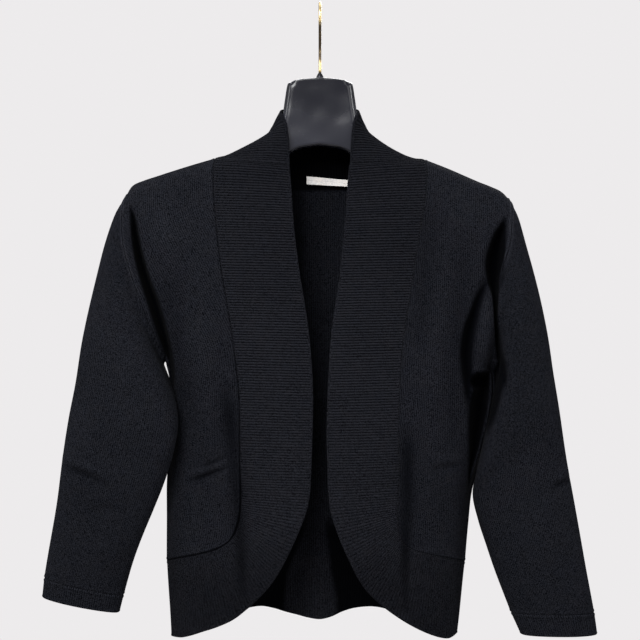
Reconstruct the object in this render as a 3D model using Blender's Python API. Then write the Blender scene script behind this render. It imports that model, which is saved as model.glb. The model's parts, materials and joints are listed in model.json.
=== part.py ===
"""An open cardigan of fine black knit, hanging on a wide-necked plastic hanger with a brass hook.

Each piece of cloth is a closed wall about its middle surface, and each middle surface is lofted
between the seams that a maker would sew: shoulder, armhole, side, band and hem. Neighbours share
the points of a seam and the direction of the wall there, so their rims face each other across a
narrow gap. The band that is collar, front edge and hem has its ribs raised on its outer face.

Metres, +Z up. The front faces -Y and +X is the viewer's right. The origin is the inside top of
the hook, where a rail carries it. The tables are in millimetres, with x counted outwards from the
centre line, so that both sides use the same code.
"""

import math
from typing import NamedTuple

import bmesh
import bpy
import numpy as np

MM = 0.001

# Driving sizes of the cloth
WALL = 2.4 * MM
SEAM_GAP = 0.3 * MM
RIB_PITCH = 3.3 * MM
RIB_CREST = 0.45 * MM
RIB_VALLEY = 0.35 * MM
LABEL_THICKNESS = 0.8 * MM
HEM_BAND_ROLL = 2 * MM  # how far the middle of the back hem band stands out behind its edges

# The label inside the back neck: its reach along the collar's first cell on each side of the
# centre, and its place across the band, as shares
LABEL_LEFT, LABEL_RIGHT = 0.45, 0.9
LABEL_FOOT, LABEL_HEAD = 0.05, 0.17

# Cells of each panel along the shoulder, down the armhole and down the side, and the steps of the
# smooth lines between the places of a table
SHOULDER_CELLS = 8
ARMHOLE_CELLS = 10
SIDE_CELLS = 10
BAND_STEPS = 2
HEM_STEPS = 4
LINE_STEPS = 12

# Shares of the band's width, from seam to free edge, where its rows of points lie
BAND_SHARES = (0.0, 0.07, 0.5, 0.93, 1.0)

# How panels and rings are shaped: the power by which a panel's depth turns towards its side, the
# powers by which the depths of its top and bottom seams fade, and that of a flattened ring
SIDE_TURN = 2.5
TOP_FADE = 50
BOTTOM_FADE = 3
RING_SQUARENESS = 0.85

# The rounding of a panel's rows, from the shoulder to the underarm: slack, slack, fully round
ROUNDING_ROWS = (0, 5, 10)
ROUNDING = (0.9, 0.85, 0.5)

# The direction in which the ends of a stretch of seam are sorted, so that both rims are cut alike
SEAM_ORDER = np.array([0.31, 0.12, 1.0])
MATCH = 0.01 * MM  # seam points closer than this are one point

# Driving sizes of the hanger
HOOK_WIRE = 3.6 * MM
HOOK_LOOP = 20 * MM
HOOK_STEM_FOOT = -85.2 * MM
HOOK_STEM_TOP = -62 * MM
HOOK_BEND = ((-1.5, -53), (-8, -42))  # y and z of the bend between stem and loop, in millimetres
HOOK_TURN = (-30, 221, 20)  # the loop's first angle, the end of its angles and its step, in degrees
NUT_RADIUS = 4.6 * MM
NUT_TOP_SHARE = 0.6
NUT_SIDES = 16
NUT_TOP = -85.5 * MM
NUT_FOOT = -92.7 * MM
HOOK_ROUNDNESS = 2  # how finely the round of the wire is cut
HANGER_SECTION_POINTS = 12
HANGER_CREST_GAP = 0.8 * MM


class Seat(NamedTuple):
    """One place along a seam or an outline."""

    x: float
    y: float
    z: float


class CollarRow(NamedTuple):
    """A row of the standing collar: its seam, its middle and its free edge."""

    seam: Seat
    middle: Seat
    edge: Seat


class BandRow(NamedTuple):
    """A row of the front band: its seam, its free edge and how far its middle rolls forward."""

    seam: Seat
    edge: Seat
    roll: float


class SleeveRow(NamedTuple):
    """A ring of a sleeve: its outer and inner edge, and half its depth from front to back."""

    outer: Seat
    inner: Seat
    half_depth: float


class HemRow(NamedTuple):
    """A row of the back hem band: its seam and its free edge."""

    seam: Seat
    edge: Seat


class HangerRow(NamedTuple):
    """A section of the hanger at one distance from the middle."""

    x: float
    top: float
    foot: float
    half_depth: float


class Fold(NamedTuple):
    """A soft trough in the cloth, from one place to another, seen from the front."""

    x0: float
    z0: float
    x1: float
    z1: float
    depth: float
    half_width: float


# The collar, from the centre back to the neck end of the shoulder seam, the same on both sides
COLLAR = (
    CollarRow(Seat(0, 31, -230), Seat(0, 33, -181), Seat(0, 30, -132)),
    CollarRow(Seat(40, 30, -227), Seat(35, 32, -178), Seat(28, 26, -131)),
    CollarRow(Seat(76, 27, -217), Seat(62, 16, -167), Seat(49, 0, -131.5)),
    CollarRow(Seat(97, 22, -208), Seat(71, 5, -165), Seat(43.3, -17, -156.4)),
    CollarRow(Seat(116, 12, -199.5), Seat(87, -8, -176), Seat(39.5, -24, -178.3)),
    CollarRow(Seat(130, 0, -195.2), Seat(86, -23.5, -198), Seat(38, -28, -200)),
)

# The band down the left front, round its corner and along the hem to the side seam
BAND_LEFT = (
    BandRow(Seat(132, -17, -205), Seat(37, -30, -212), 6),
    BandRow(Seat(131, -25.5, -238), Seat(34.5, -33.5, -242), 5),
    BandRow(Seat(127.5, -30, -273), Seat(31.6, -37, -276), 4),
    BandRow(Seat(120, -34, -339), Seat(24.4, -40, -341), 4),
    BandRow(Seat(107.6, -37, -409), Seat(12.8, -43, -411), 4),
    BandRow(Seat(98.9, -40, -492), Seat(8.5, -45, -494), 4),
    BandRow(Seat(97.6, -41, -571), Seat(10.3, -46, -573), 4),
    BandRow(Seat(97.5, -42, -620), Seat(17, -46, -628), 4),
    BandRow(Seat(101.8, -42, -646.5), Seat(43.8, -46, -691), 4),
    BandRow(Seat(110.9, -42, -663.5), Seat(69.3, -46, -727), 4),
    BandRow(Seat(129, -41, -674.5), Seat(106, -43, -759.5), 3),
    BandRow(Seat(153, -34, -681.5), Seat(143.2, -36, -775.5), 2),
    BandRow(Seat(175.5, -19, -688), Seat(169.4, -20, -786), 1),
    BandRow(Seat(190, 0, -694), Seat(185, 0, -789), 0),
)
BAND_RIGHT = (
    BandRow(Seat(132, -17, -205), Seat(34.6, -30, -212), 6),
    BandRow(Seat(131, -25.5, -238), Seat(32.3, -33.5, -243), 5),
    BandRow(Seat(125.5, -30, -273), Seat(30.6, -37, -276), 4),
    BandRow(Seat(114.5, -34, -339), Seat(23.4, -40, -341), 4),
    BandRow(Seat(103.9, -37, -409), Seat(14, -43, -411), 4),
    BandRow(Seat(96.4, -40, -492), Seat(8.5, -45, -494), 4),
    BandRow(Seat(97.2, -41, -571), Seat(9.1, -46, -573), 4),
    BandRow(Seat(95.1, -42, -620), Seat(12.8, -46, -628), 4),
    BandRow(Seat(95.3, -42, -648), Seat(36.5, -46, -689), 4),
    BandRow(Seat(101.2, -42, -666), Seat(58.4, -46, -726), 4),
    BandRow(Seat(117.1, -41, -676), Seat(95, -43, -757), 3),
    BandRow(Seat(140, -34, -682.5), Seat(130.9, -36, -777.5), 2),
    BandRow(Seat(163.5, -19, -689.5), Seat(157.1, -20, -787), 1),
    BandRow(Seat(180.5, 0, -695), Seat(170, 0, -785), 0),
)
CORNER_ROW = 9  # the row of the band tables at the corner of the front panel

# The shoulder seam, from its neck end to the tip of the shoulder
SHOULDER_LEFT = (
    Seat(130, 0, -195.2),
    Seat(171, 0, -206.4),
    Seat(209, 0, -217.7),
    Seat(232, 0, -227.5),
    Seat(241, 0, -241),
)
SHOULDER_RIGHT = (
    Seat(130, 0, -195.2),
    Seat(160, 0, -207.8),
    Seat(196, 0, -223.5),
    Seat(223, 0, -235),
    Seat(233, 0, -247.5),
)

# The front of the armhole, from the tip of the shoulder to the underarm. The back mirrors it.
ARMHOLE_LEFT = (
    Seat(241, 0, -241),
    Seat(243.5, -19, -254),
    Seat(244, -26, -298),
    Seat(240, -29, -342),
    Seat(222, -24, -400),
    Seat(193.1, 0, -439),
)
ARMHOLE_RIGHT = (
    Seat(233, 0, -247.5),
    Seat(235, -19, -260),
    Seat(235.5, -26, -300),
    Seat(230, -27, -345),
    Seat(222, -20, -404),
    Seat(212, 2, -455),
)

# The side seam, from the underarm to the hem band
SIDE_LEFT = (
    Seat(193.1, 0, -439),
    Seat(189.6, 0, -449),
    Seat(185, 0, -479),
    Seat(183.8, 0, -532),
    Seat(190, 0, -600),
    Seat(190, 0, -694),
)
SIDE_RIGHT = (
    Seat(212, 2, -455),
    Seat(214, 11, -466),
    Seat(217.5, 23, -496),
    Seat(208, 25, -550),
    Seat(189, 13, -612),
    Seat(180.5, 0, -695),
)

# The middle of the back, from the neck seam to the hem band's seam
BACK_MIDDLE = (Seat(0, 31, -230), Seat(0, 36, -330), Seat(0, 37, -450), Seat(0, 33, -580), Seat(0, 30, -694))

# The back hem band, from the centre to each side seam, with the waves of its lower edge
HEM_LEFT = (
    HemRow(Seat(0, 30, -694), Seat(0, 29, -774)),
    HemRow(Seat(38, 40, -694), Seat(37, 45, -770)),
    HemRow(Seat(85, 43, -694), Seat(82, 50, -762)),
    HemRow(Seat(142, 32, -694), Seat(138, 35, -780)),
    HemRow(Seat(190, 0, -694), Seat(185, 0, -789)),
)
HEM_RIGHT = (
    HemRow(Seat(0, 30, -694), Seat(0, 29, -774)),
    HemRow(Seat(38, 40, -694), Seat(38, 47, -765)),
    HemRow(Seat(82, 43, -694), Seat(79, 50, -764)),
    HemRow(Seat(136, 32, -694), Seat(130, 34, -781)),
    HemRow(Seat(180.5, 0, -695), Seat(170, 0, -785)),
)

# The sleeves below the armhole. The last two rings are the cuff's seam and its open end.
SLEEVE_LEFT = (
    SleeveRow(Seat(253, 0, -259), Seat(196.6, 0, -449), 29),
    SleeveRow(Seat(265.5, 0, -295), Seat(193.5, -3, -463), 30),
    SleeveRow(Seat(276, -2, -334), Seat(186, -14, -480), 30),
    SleeveRow(Seat(285.5, -6, -374), Seat(177, -32, -500), 28),
    SleeveRow(Seat(294, -10, -419), Seat(174, -41, -524), 27),
    SleeveRow(Seat(301.5, -13, -468), Seat(179, -41, -554), 26),
    SleeveRow(Seat(310, -14, -513), Seat(191, -33, -590), 25),
    SleeveRow(Seat(317.5, -14, -565), Seat(206, -24, -626), 24),
    SleeveRow(Seat(325, -12, -617), Seat(219, -18, -657), 23),
    SleeveRow(Seat(334, -10, -670), Seat(232, -13, -692), 22),
    SleeveRow(Seat(341.5, -9, -714), Seat(245, -10, -735), 20),
    SleeveRow(Seat(344.5, -8, -738), Seat(251, -8, -757), 19),
)
SLEEVE_RIGHT = (
    SleeveRow(Seat(244, 0, -266), Seat(217.2, 0, -465), 29),
    SleeveRow(Seat(255.5, 0, -299), Seat(216, -2, -482), 30),
    SleeveRow(Seat(265.5, 0, -335), Seat(214.5, -6, -503), 30),
    SleeveRow(Seat(275, -1, -374), Seat(209, -9, -525), 29),
    SleeveRow(Seat(284.5, -2, -419), Seat(202.5, -11, -553), 28),
    SleeveRow(Seat(291, -3, -466), Seat(195.5, -11, -583), 27),
    SleeveRow(Seat(299, -3, -518), Seat(191, -6, -612), 26),
    SleeveRow(Seat(307, -5, -571), Seat(197.5, -8, -643), 25),
    SleeveRow(Seat(316, -7, -627), Seat(208, -9, -674), 24),
    SleeveRow(Seat(327, -8, -686), Seat(220.5, -9, -710), 22),
    SleeveRow(Seat(339.5, -8, -757), Seat(238, -8, -757), 20),
    SleeveRow(Seat(343.5, -8, -784), Seat(250.5, -8, -784), 19),
)
CAP_RINGS = 5  # the rings over which the armhole's shape gives way to the tube's

# The largest folds: the valley between body and arm on each front, and the dips beside the band
FOLDS_LEFT = (
    Fold(229, -280, 196, -412, 17, 11),
    Fold(112, -480, 96, -600, 3, 14),
)
FOLDS_RIGHT = (
    Fold(216, -285, 184, -425, 17, 11),
    Fold(199, -474, 193, -580, 20, 10),
    Fold(112, -500, 108, -640, 3, 14),
)
FOLD_FADE = 12 * MM  # cloth nearer the middle depth than this takes only its share of a fold

# The plastic hanger, from its middle outwards, the same on both sides
HANGER = (
    HangerRow(0, -93, -177.5, 12),
    HangerRow(24, -95, -179.5, 12),
    HangerRow(34, -98, -184.5, 12),
    HangerRow(39, -102, -187.5, 9),
    HangerRow(42, -117, -189.5, 7),
    HangerRow(45, -137, -191, 6.5),
    HangerRow(50, -160, -193, 7),
    HangerRow(62, -175, -201, 8),
    HangerRow(86, -189.5, -212, 9),
    HangerRow(116, -206, -226, 9.5),
)
ARM_XS = (150, 185, 212, 226)
ARM_DROP = 38
ARM_HALF_DEPTH = 10


def metres(seats, side):
    """Table places as an array in metres, on the left (-1) or right (+1) side."""
    return np.array([(side * seat.x, seat.y, seat.z) for seat in seats]) * MM


def refine(points, steps):
    """A smooth line through the points, with this many steps between each pair."""
    points = np.asarray(points, float)
    before = np.vstack([2 * points[0] - points[1], points[:-1]])
    after = np.vstack([points[1:], 2 * points[-1] - points[-2]])
    slopes = (after - before) / 2
    line = []
    for start, end, out, back in zip(points[:-1], points[1:], slopes[:-1], slopes[1:]):
        for step in range(steps):
            t = step / steps
            line.append(
                (2 * t**3 - 3 * t**2 + 1) * start
                + (t**3 - 2 * t**2 + t) * out
                + (3 * t**2 - 2 * t**3) * end
                + (t**3 - t**2) * back
            )
    return np.array([*line, points[-1]])


def run_shares(line):
    """How far along the line each of its points lies, from 0 to 1."""
    run = np.concatenate([[0], np.cumsum(np.linalg.norm(np.diff(line, axis=0), axis=1))])
    return run / run[-1]


def spaced(points, shares):
    """The smooth line through the points, read at these shares of its length."""
    line = refine(points, LINE_STEPS)
    run = run_shares(line)
    return np.stack([np.interp(shares, run, line[:, axis]) for axis in range(3)], axis=1)


def even(cells):
    """Shares that cut a line into equal cells."""
    return np.linspace(0, 1, cells + 1)


def folded(points, folds, side):
    """The points with the folds of one side pressed in, towards the middle depth."""
    points = points.copy()
    for fold in folds:
        start = np.array([side * fold.x0, fold.z0]) * MM
        run = np.array([side * fold.x1, fold.z1]) * MM - start
        place = points[..., [0, 2]] - start
        along = place @ run / (run @ run)
        nearest = np.clip(along, 0, 1)[..., None] * run
        away = np.linalg.norm(place - nearest, axis=-1)
        push = fold.depth * MM * np.exp(-((away / (fold.half_width * MM)) ** 2))
        in_front = np.clip(-points[..., 1] / FOLD_FADE, 0, 1)
        points[..., 1] += push * in_front
    return points


def panel(inner, outer, top, bottom):
    """A four-sided panel: x and z blended from its four seams, and a depth that rounds at the side.

    inner and outer run from top to bottom, and top and bottom from inner to outer.
    """
    roundness = np.interp(np.arange(len(inner)), ROUNDING_ROWS, ROUNDING)
    down = ((run_shares(inner) + run_shares(outer)) / 2)[:, None, None]
    across = np.linspace(0, 1, len(top))[None, :, None]
    sides = inner[:, None] * (1 - across) + outer[:, None] * across
    ends = top[None] * (1 - down) + bottom[None] * down
    corners = (inner[0] * (1 - across) + outer[0] * across) * (1 - down) + (
        inner[-1] * (1 - across) + outer[-1] * across
    ) * down
    grid = sides + ends - corners
    share = (1 - across[0, :, 0][None] ** SIDE_TURN) ** roundness[:, None]
    depth = outer[:, 1:2] + (inner[:, 1:2] - outer[:, 1:2]) * share
    from_top = (1 - down[:, :, 0]) ** TOP_FADE * (top[:, 1] - depth[0])[None]
    from_bottom = down[:, :, 0] ** BOTTOM_FADE * (bottom[:, 1] - depth[-1])[None]
    grid[..., 1] = depth + from_top + from_bottom
    grid[0], grid[-1], grid[:, 0], grid[:, -1] = top, bottom, inner, outer
    return grid


def across_band(seam, middle, edge, shares):
    """A row across the band, on the curve through its seam, middle and free edge."""
    u = np.asarray(shares)[:, None]
    return (
        (1 - u) * (1 - 2 * u) * seam
        + 4 * u * (1 - u) * middle
        + u * (2 * u - 1) * edge
    )


class Cloth:
    """One piece of cloth: a grid of points on its middle surface, and the wall built about it."""

    def __init__(self, name, grid, outward, closed=False):
        """outward gives, for the grid, directions that point out of the garment."""
        self.name = name
        self.grid = grid
        self.closed = closed
        self.normals = self._normals(outward)
        self.pull = np.zeros_like(grid)

    def _normals(self, outward):
        down = np.gradient(self.grid, axis=0)
        if self.closed:
            across = np.roll(self.grid, -1, axis=1) - np.roll(self.grid, 1, axis=1)
        else:
            across = np.gradient(self.grid, axis=1)
        normals = np.cross(down, across)
        normals /= np.linalg.norm(normals, axis=2, keepdims=True)
        if (normals * outward).sum() < 0:
            normals = -normals
        return normals

    def borders(self):
        """Each border as (row indices, column indices, the same one step inside)."""
        rows, columns = self.grid.shape[:2]
        i, j = np.arange(rows), np.arange(columns)
        found = [
            ((0 * j, j), (0 * j + 1, j)),
            ((0 * j + rows - 1, j), (0 * j + rows - 2, j)),
        ]
        if not self.closed:
            found.append(((i, 0 * i), (i, 0 * i + 1)))
            found.append(((i, 0 * i + columns - 1), (i, 0 * i + columns - 2)))
        return found

    def pull_back(self):
        """Moves each border inwards by half the seam gap, square to the seam and the wall."""
        for border, inside in self.borders():
            points, inner, normals = self.grid[border], self.grid[inside], self.normals[border]
            if self.closed:
                along = np.roll(points, -1, axis=0) - np.roll(points, 1, axis=0)
            else:
                along = np.gradient(points, axis=0)
            square = np.cross(normals, along)
            square /= np.linalg.norm(square, axis=1, keepdims=True)
            square *= np.sign(((inner - points) * square).sum(axis=1))[:, None]
            self.pull[border] += square * SEAM_GAP / 2

    def faces_of(self, thickness=WALL):
        """Its outer and inner points."""
        middle = self.grid + self.pull
        return middle + self.normals * thickness / 2, middle - self.normals * thickness / 2


def sew(cloths):
    """Gives the points that neighbours share one direction of the wall, then opens the seam gaps."""
    shared = {}
    for cloth in cloths:
        for border, _ in cloth.borders():
            for i, j in zip(*border):
                key = tuple(np.round(cloth.grid[i, j] / MATCH).astype(int))
                shared.setdefault(key, set()).add((cloth, int(i), int(j)))
    for meeting in shared.values():
        total = sum(cloth.normals[i, j] for cloth, i, j in meeting)
        total /= np.linalg.norm(total)
        for cloth, i, j in meeting:
            cloth.normals[i, j] = total
    for cloth in cloths:
        cloth.pull_back()


def plain_wall(cloth, thickness=WALL):
    """A wall with plain faces, as (points, quads)."""
    outer, inner = cloth.faces_of(thickness)
    rows, columns = cloth.grid.shape[:2]
    index = np.arange(rows * columns).reshape(rows, columns)
    step = columns if cloth.closed else columns - 1
    faces = []
    for i in range(rows - 1):
        for j in range(step):
            k = (j + 1) % columns
            a, b, c, d = index[i, j], index[i, k], index[i + 1, k], index[i + 1, j]
            faces.append((a, b, c, d))
            faces.append(tuple(rows * columns + point for point in (d, c, b, a)))
    rims = [[index[0, j % columns] for j in range(step + 1)], [index[-1, j % columns] for j in range(step + 1)]]
    if not cloth.closed:
        rims += [list(index[:, 0]), list(index[:, -1])]
    points = np.concatenate([outer.reshape(-1, 3), inner.reshape(-1, 3)])
    faces += rim_faces(rims, points, rows * columns)
    return points, faces


def rim_faces(rims, points, offset):
    """Triangles between the outer and inner points of each rim.

    Each pair starts from the lower end of its stretch of seam, so that the rims of two neighbours
    are cut along the same diagonals and stay parallel where the seam twists.
    """
    faces = []
    for rim in rims:
        for a, b in zip(rim[:-1], rim[1:]):
            low, high = sorted((a, b), key=lambda point: points[point] @ SEAM_ORDER)
            faces += [(low, high, low + offset), (high, high + offset, low + offset)]
    return faces


def ribbed_wall(cloth):
    """A wall whose outer face has ribs across it, over a plain inside, as (points, faces).

    The border columns keep only the stations, and the columns between them get two rows for each
    rib, a crest and a valley. Fans of triangles join the two.
    """
    outer, inner = cloth.faces_of()
    rows, columns = cloth.grid.shape[:2]
    points = [*outer.reshape(-1, 3), *inner.reshape(-1, 3)]
    index = np.arange(rows * columns).reshape(rows, columns)
    faces = []
    for i in range(rows - 1):
        for j in range(columns - 1):
            quad = (index[i, j], index[i + 1, j], index[i + 1, j + 1], index[i, j + 1])
            faces.append(tuple(rows * columns + point for point in quad))
    rims = [list(index[0]), list(index[-1]), list(index[:, 0]), list(index[:, -1])]
    faces += rim_faces(rims, points, rows * columns)
    for i in range(rows - 1):
        for j in range(1, columns - 1):
            points[index[i, j]] = outer[i, j] - cloth.normals[i, j] * RIB_VALLEY
        run = np.linalg.norm(cloth.grid[i + 1] - cloth.grid[i], axis=1).mean()
        steps = 2 * max(1, round(run / RIB_PITCH))
        fine = [list(index[i, 1:-1])]
        for step in range(1, steps):
            t = step / steps
            row = []
            for j in range(1, columns - 1):
                place = outer[i, j] * (1 - t) + outer[i + 1, j] * t
                normal = cloth.normals[i, j] * (1 - t) + cloth.normals[i + 1, j] * t
                raised = RIB_CREST if step % 2 else -RIB_VALLEY
                points.append(place + normal * raised)
                row.append(len(points) - 1)
            fine.append(row)
        fine.append(list(index[i + 1, 1:-1]))
        for above, below in zip(fine[:-1], fine[1:]):
            for j in range(columns - 3):
                faces.append((above[j], above[j + 1], below[j + 1], below[j]))
        for column, side in ((0, 0), (columns - 1, -1)):
            near = [row[side] for row in fine]
            half = steps // 2
            top, bottom = index[i, column], index[i + 1, column]
            faces += [(top, near[k], near[k + 1]) for k in range(half)]
            faces.append((top, near[half], bottom))
            faces += [(bottom, near[k], near[k + 1]) for k in range(half, steps)]
    for j in range(1, columns - 1):
        points[index[-1, j]] = outer[-1, j] - cloth.normals[-1, j] * RIB_VALLEY
    return np.array(points), faces


def material(name, colour, roughness, metallic=0.0):
    """A plain Principled material."""
    made = bpy.data.materials.new(name)
    made.use_nodes = True
    shader = made.node_tree.nodes["Principled BSDF"]
    shader.inputs["Base Color"].default_value = (*colour, 1)
    shader.inputs["Roughness"].default_value = roughness
    shader.inputs["Metallic"].default_value = metallic
    made.diffuse_color = (*colour, 1)
    return made


def add_solid(name, points, faces, finish):
    """A closed mesh object with its faces turned outwards."""
    mesh = bpy.data.meshes.new(name)
    mesh.from_pydata([tuple(point) for point in points], [], [tuple(map(int, face)) for face in faces])
    work = bmesh.new()
    work.from_mesh(mesh)
    bmesh.ops.recalc_face_normals(work, faces=work.faces)
    bmesh.ops.triangulate(work, faces=work.faces, quad_method="SHORT_EDGE")
    work.to_mesh(mesh)
    work.free()
    mesh.materials.append(finish)
    solid = bpy.data.objects.new(name, mesh)
    bpy.data.collections["cardigan"].objects.link(solid)
    return solid


class Side:
    """The seams of one half of the garment, and the grids of the pieces between them."""

    def __init__(self, name, sign, band, shoulder, armhole, side, hem, sleeve, folds):
        self.name = name
        self.sign = sign
        self.folds = folds
        self.collar = [metres(row, sign) for row in COLLAR]
        self.band = band
        self.shoulder = spaced(metres(shoulder, sign), even(SHOULDER_CELLS))
        front = refine(metres(armhole, sign), ARMHOLE_CELLS // (len(armhole) - 1))
        self.armhole_front = self.press(front)
        self.armhole_back = front * (1, -1, 1)
        self.armhole_back[-1] = front[-1]
        self.side = refine(metres(side, sign), SIDE_CELLS // (len(side) - 1))
        self.hem = hem
        self.sleeve = sleeve
        self.band_rows = self._band_rows()

    def press(self, points):
        return folded(points, self.folds, self.sign)

    def _band_rows(self):
        """(seam, middle, edge) lines of the whole band, from the centre back to the side seam."""
        seam = metres([COLLAR[-1].seam] + [row.seam for row in self.band], self.sign)
        edge = metres([COLLAR[-1].edge] + [row.edge for row in self.band], self.sign)
        roll = np.array([[0, -row.roll * MM, 0] for row in self.band])
        middle = np.vstack([self.collar[-1][1], (seam[1:] + edge[1:]) / 2 + roll])
        lines = []
        for column, line in enumerate((seam, middle, edge)):
            smooth = self.press(refine(line, BAND_STEPS))
            neck = np.array([row[column] for row in self.collar[:-1]])
            lines.append(np.vstack([neck, smooth]))
        return lines

    def band_grid(self):
        seam, middle, edge = self.band_rows
        return np.array([across_band(*row, BAND_SHARES) for row in zip(seam, middle, edge)])

    def front_grid(self):
        """The front panel, between the band's seam, the shoulder, the armhole and the side."""
        start = len(COLLAR) - 1
        corner = start + BAND_STEPS * (CORNER_ROW + 1)
        seam = self.band_rows[0]
        inner = seam[start : corner + 1]
        bottom = seam[corner:]
        outer = np.vstack([self.armhole_front, self.side[1:]])
        grid = panel(inner, outer, self.shoulder, bottom)
        pressed = self.press(grid)
        grid[1:-1, 1:-1] = pressed[1:-1, 1:-1]
        return grid

    def back_grid(self, middle):
        """Half of the back panel, from the centre line outwards."""
        start = len(COLLAR) - 1
        top = np.vstack([self.band_rows[0][:start], self.shoulder])
        outer = np.vstack([self.armhole_back, self.side[1:]])
        bottom = self.hem_lines()[0]
        return panel(middle, outer, top, bottom)

    def hem_lines(self):
        """(seam, edge) lines of half the back hem band, from the centre to the side seam.

        The row before the centre is the next one mirrored, so that the line runs level there.
        """
        shares = even(len(COLLAR) - 1 + SHOULDER_CELLS)
        lines = []
        for name, end in (("seam", 0), ("edge", 2)):
            places = metres([getattr(row, name) for row in self.hem], self.sign)
            whole = np.vstack([places[1] * (-1, 1, 1), places])
            line = spaced(refine(whole, HEM_STEPS)[HEM_STEPS:], shares)
            line[-1] = self.band_rows[end][-1]
            lines.append(line)
        return lines

    def sleeve_rings(self):
        """The rings of the sleeve, from the armhole's loop to the open end of the cuff."""
        loop = np.vstack([self.armhole_front, self.armhole_back[-2:0:-1]])
        turn = np.linspace(0, 2 * math.pi, len(loop), endpoint=False)
        first = tube_ring(loop[0], self.armhole_front[-1], self.sleeve[0].half_depth * MM, turn)
        rings = [loop]
        for count, row in enumerate(self.sleeve, start=1):
            outer, inner = metres((row.outer, row.inner), self.sign)
            ring = tube_ring(outer, inner, row.half_depth * MM, turn)
            keep = max(0.0, 1 - count / CAP_RINGS)
            rings.append(ring + keep * (loop - first))
        return np.array(rings)


def tube_ring(outer, inner, half_depth, turn):
    """A flattened ring between two edge points, front half first."""
    centre, reach = (outer + inner) / 2, (outer - inner) / 2
    wide = np.sign(np.cos(turn)) * np.abs(np.cos(turn)) ** RING_SQUARENESS
    deep = np.sign(np.sin(turn)) * np.abs(np.sin(turn)) ** RING_SQUARENESS
    ring = centre + reach * wide[:, None]
    ring[:, 1] -= half_depth * deep
    return ring


def mirrored(left, right):
    """A whole row or panel from its two halves, which share their centre column."""
    return np.concatenate([left[:, ::-1], right[:, 1:]], axis=1)


def make_label(left, right, finish):
    """The small label inside the back neck, made from the collar's own points, moved inwards."""
    lift = WALL / 2 + SEAM_GAP + LABEL_THICKNESS / 2
    rows = []
    for share in (LABEL_FOOT, LABEL_HEAD):
        row = []
        for cloth, reach in ((left, LABEL_LEFT), (right, LABEL_RIGHT)):
            ends = [across_share(cloth, station, share) for station in (0, 1)]
            at = [0.0, reach] if cloth is right else [reach]
            row += [ends[0] * (1 - t) + ends[1] * t for t in at]
        rows.append(row)
    grid = np.array(rows) - np.array([0, lift, 0])
    label = Cloth("neck_label", grid, np.array([0, -1, 0]))
    return add_solid(label.name, *plain_wall(label, LABEL_THICKNESS), finish)


def across_share(cloth, station, share):
    """The place at this share of the band's width on one of its stations."""
    row = cloth.grid[station]
    return np.array([np.interp(share, BAND_SHARES, row[:, axis]) for axis in range(3)])


def hanger_rows(shoulder):
    """The sections of one arm: the table near the neck, then sections hung under the shoulder seam."""
    rows = [HangerRow(*(value * MM for value in row)) for row in HANGER]
    order = np.argsort(np.abs(shoulder[:, 0]))
    for x in ARM_XS:
        crest = np.interp(x * MM, np.abs(shoulder[order, 0]), shoulder[order, 2])
        top = crest - WALL / 2 - HANGER_CREST_GAP
        rows.append(HangerRow(x * MM, top, top - ARM_DROP * MM, ARM_HALF_DEPTH * MM))
    return rows


def hanger_section(row, side):
    """A rounded section of the hanger, as a ring of points."""
    turn = np.linspace(0, 2 * math.pi, HANGER_SECTION_POINTS, endpoint=False)
    middle, half = (row.top + row.foot) / 2, (row.top - row.foot) / 2
    y = row.half_depth * np.sign(np.sin(turn)) * np.abs(np.sin(turn)) ** RING_SQUARENESS
    z = middle + half * np.cos(turn)
    return np.stack([np.full_like(turn, side * row.x), y, z], axis=1)


def make_hanger(left, right, finish):
    """The plastic hanger as one moulding, lofted from one arm's end to the other's."""
    sections = [hanger_section(row, -1) for row in reversed(hanger_rows(left.shoulder))]
    sections += [hanger_section(row, 1) for row in hanger_rows(right.shoulder)[1:]]
    count = HANGER_SECTION_POINTS
    faces = []
    for i in range(len(sections) - 1):
        for j in range(count):
            k = (j + 1) % count
            faces.append((i * count + j, i * count + k, (i + 1) * count + k, (i + 1) * count + j))
    faces.append(range(count))
    faces.append(range((len(sections) - 1) * count, len(sections) * count))
    return add_solid("hanger_body", np.concatenate(sections), faces, finish)


def make_nut(finish):
    """The dark dome at the hook's foot."""
    mesh = bpy.data.meshes.new("hook_nut")
    work = bmesh.new()
    bmesh.ops.create_cone(
        work,
        cap_ends=True,
        segments=NUT_SIDES,
        radius1=NUT_RADIUS,
        radius2=NUT_RADIUS * NUT_TOP_SHARE,
        depth=NUT_TOP - NUT_FOOT,
    )
    work.to_mesh(mesh)
    work.free()
    mesh.materials.append(finish)
    nut = bpy.data.objects.new("hook_nut", mesh)
    nut.location.z = (NUT_TOP + NUT_FOOT) / 2
    bpy.data.collections["cardigan"].objects.link(nut)
    return nut


def make_hook(finish):
    """The wire hook: a straight stem, a bend to the front, and a loop over the rail to the back."""
    top = HOOK_WIRE / 2
    centre = top - HOOK_LOOP
    stem = [(0, 0, HOOK_STEM_FOOT), (0, 0, HOOK_STEM_TOP)]
    stem += [(0, y * MM, z * MM) for y, z in HOOK_BEND]
    loop = [
        (0, -HOOK_LOOP * math.cos(math.radians(a)), centre + HOOK_LOOP * math.sin(math.radians(a)))
        for a in range(*HOOK_TURN)
    ]
    curve = bpy.data.curves.new("hanger_hook", "CURVE")
    curve.dimensions = "3D"
    curve.bevel_depth = HOOK_WIRE / 2
    curve.bevel_resolution = HOOK_ROUNDNESS
    curve.use_fill_caps = True
    line = curve.splines.new("POLY")
    route = stem + loop
    line.points.add(len(route) - 1)
    for point, place in zip(line.points, route):
        point.co = (*place, 1)
    curve.materials.append(finish)
    hook = bpy.data.objects.new("hanger_hook", curve)
    bpy.data.collections["cardigan"].objects.link(hook)
    return hook


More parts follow.
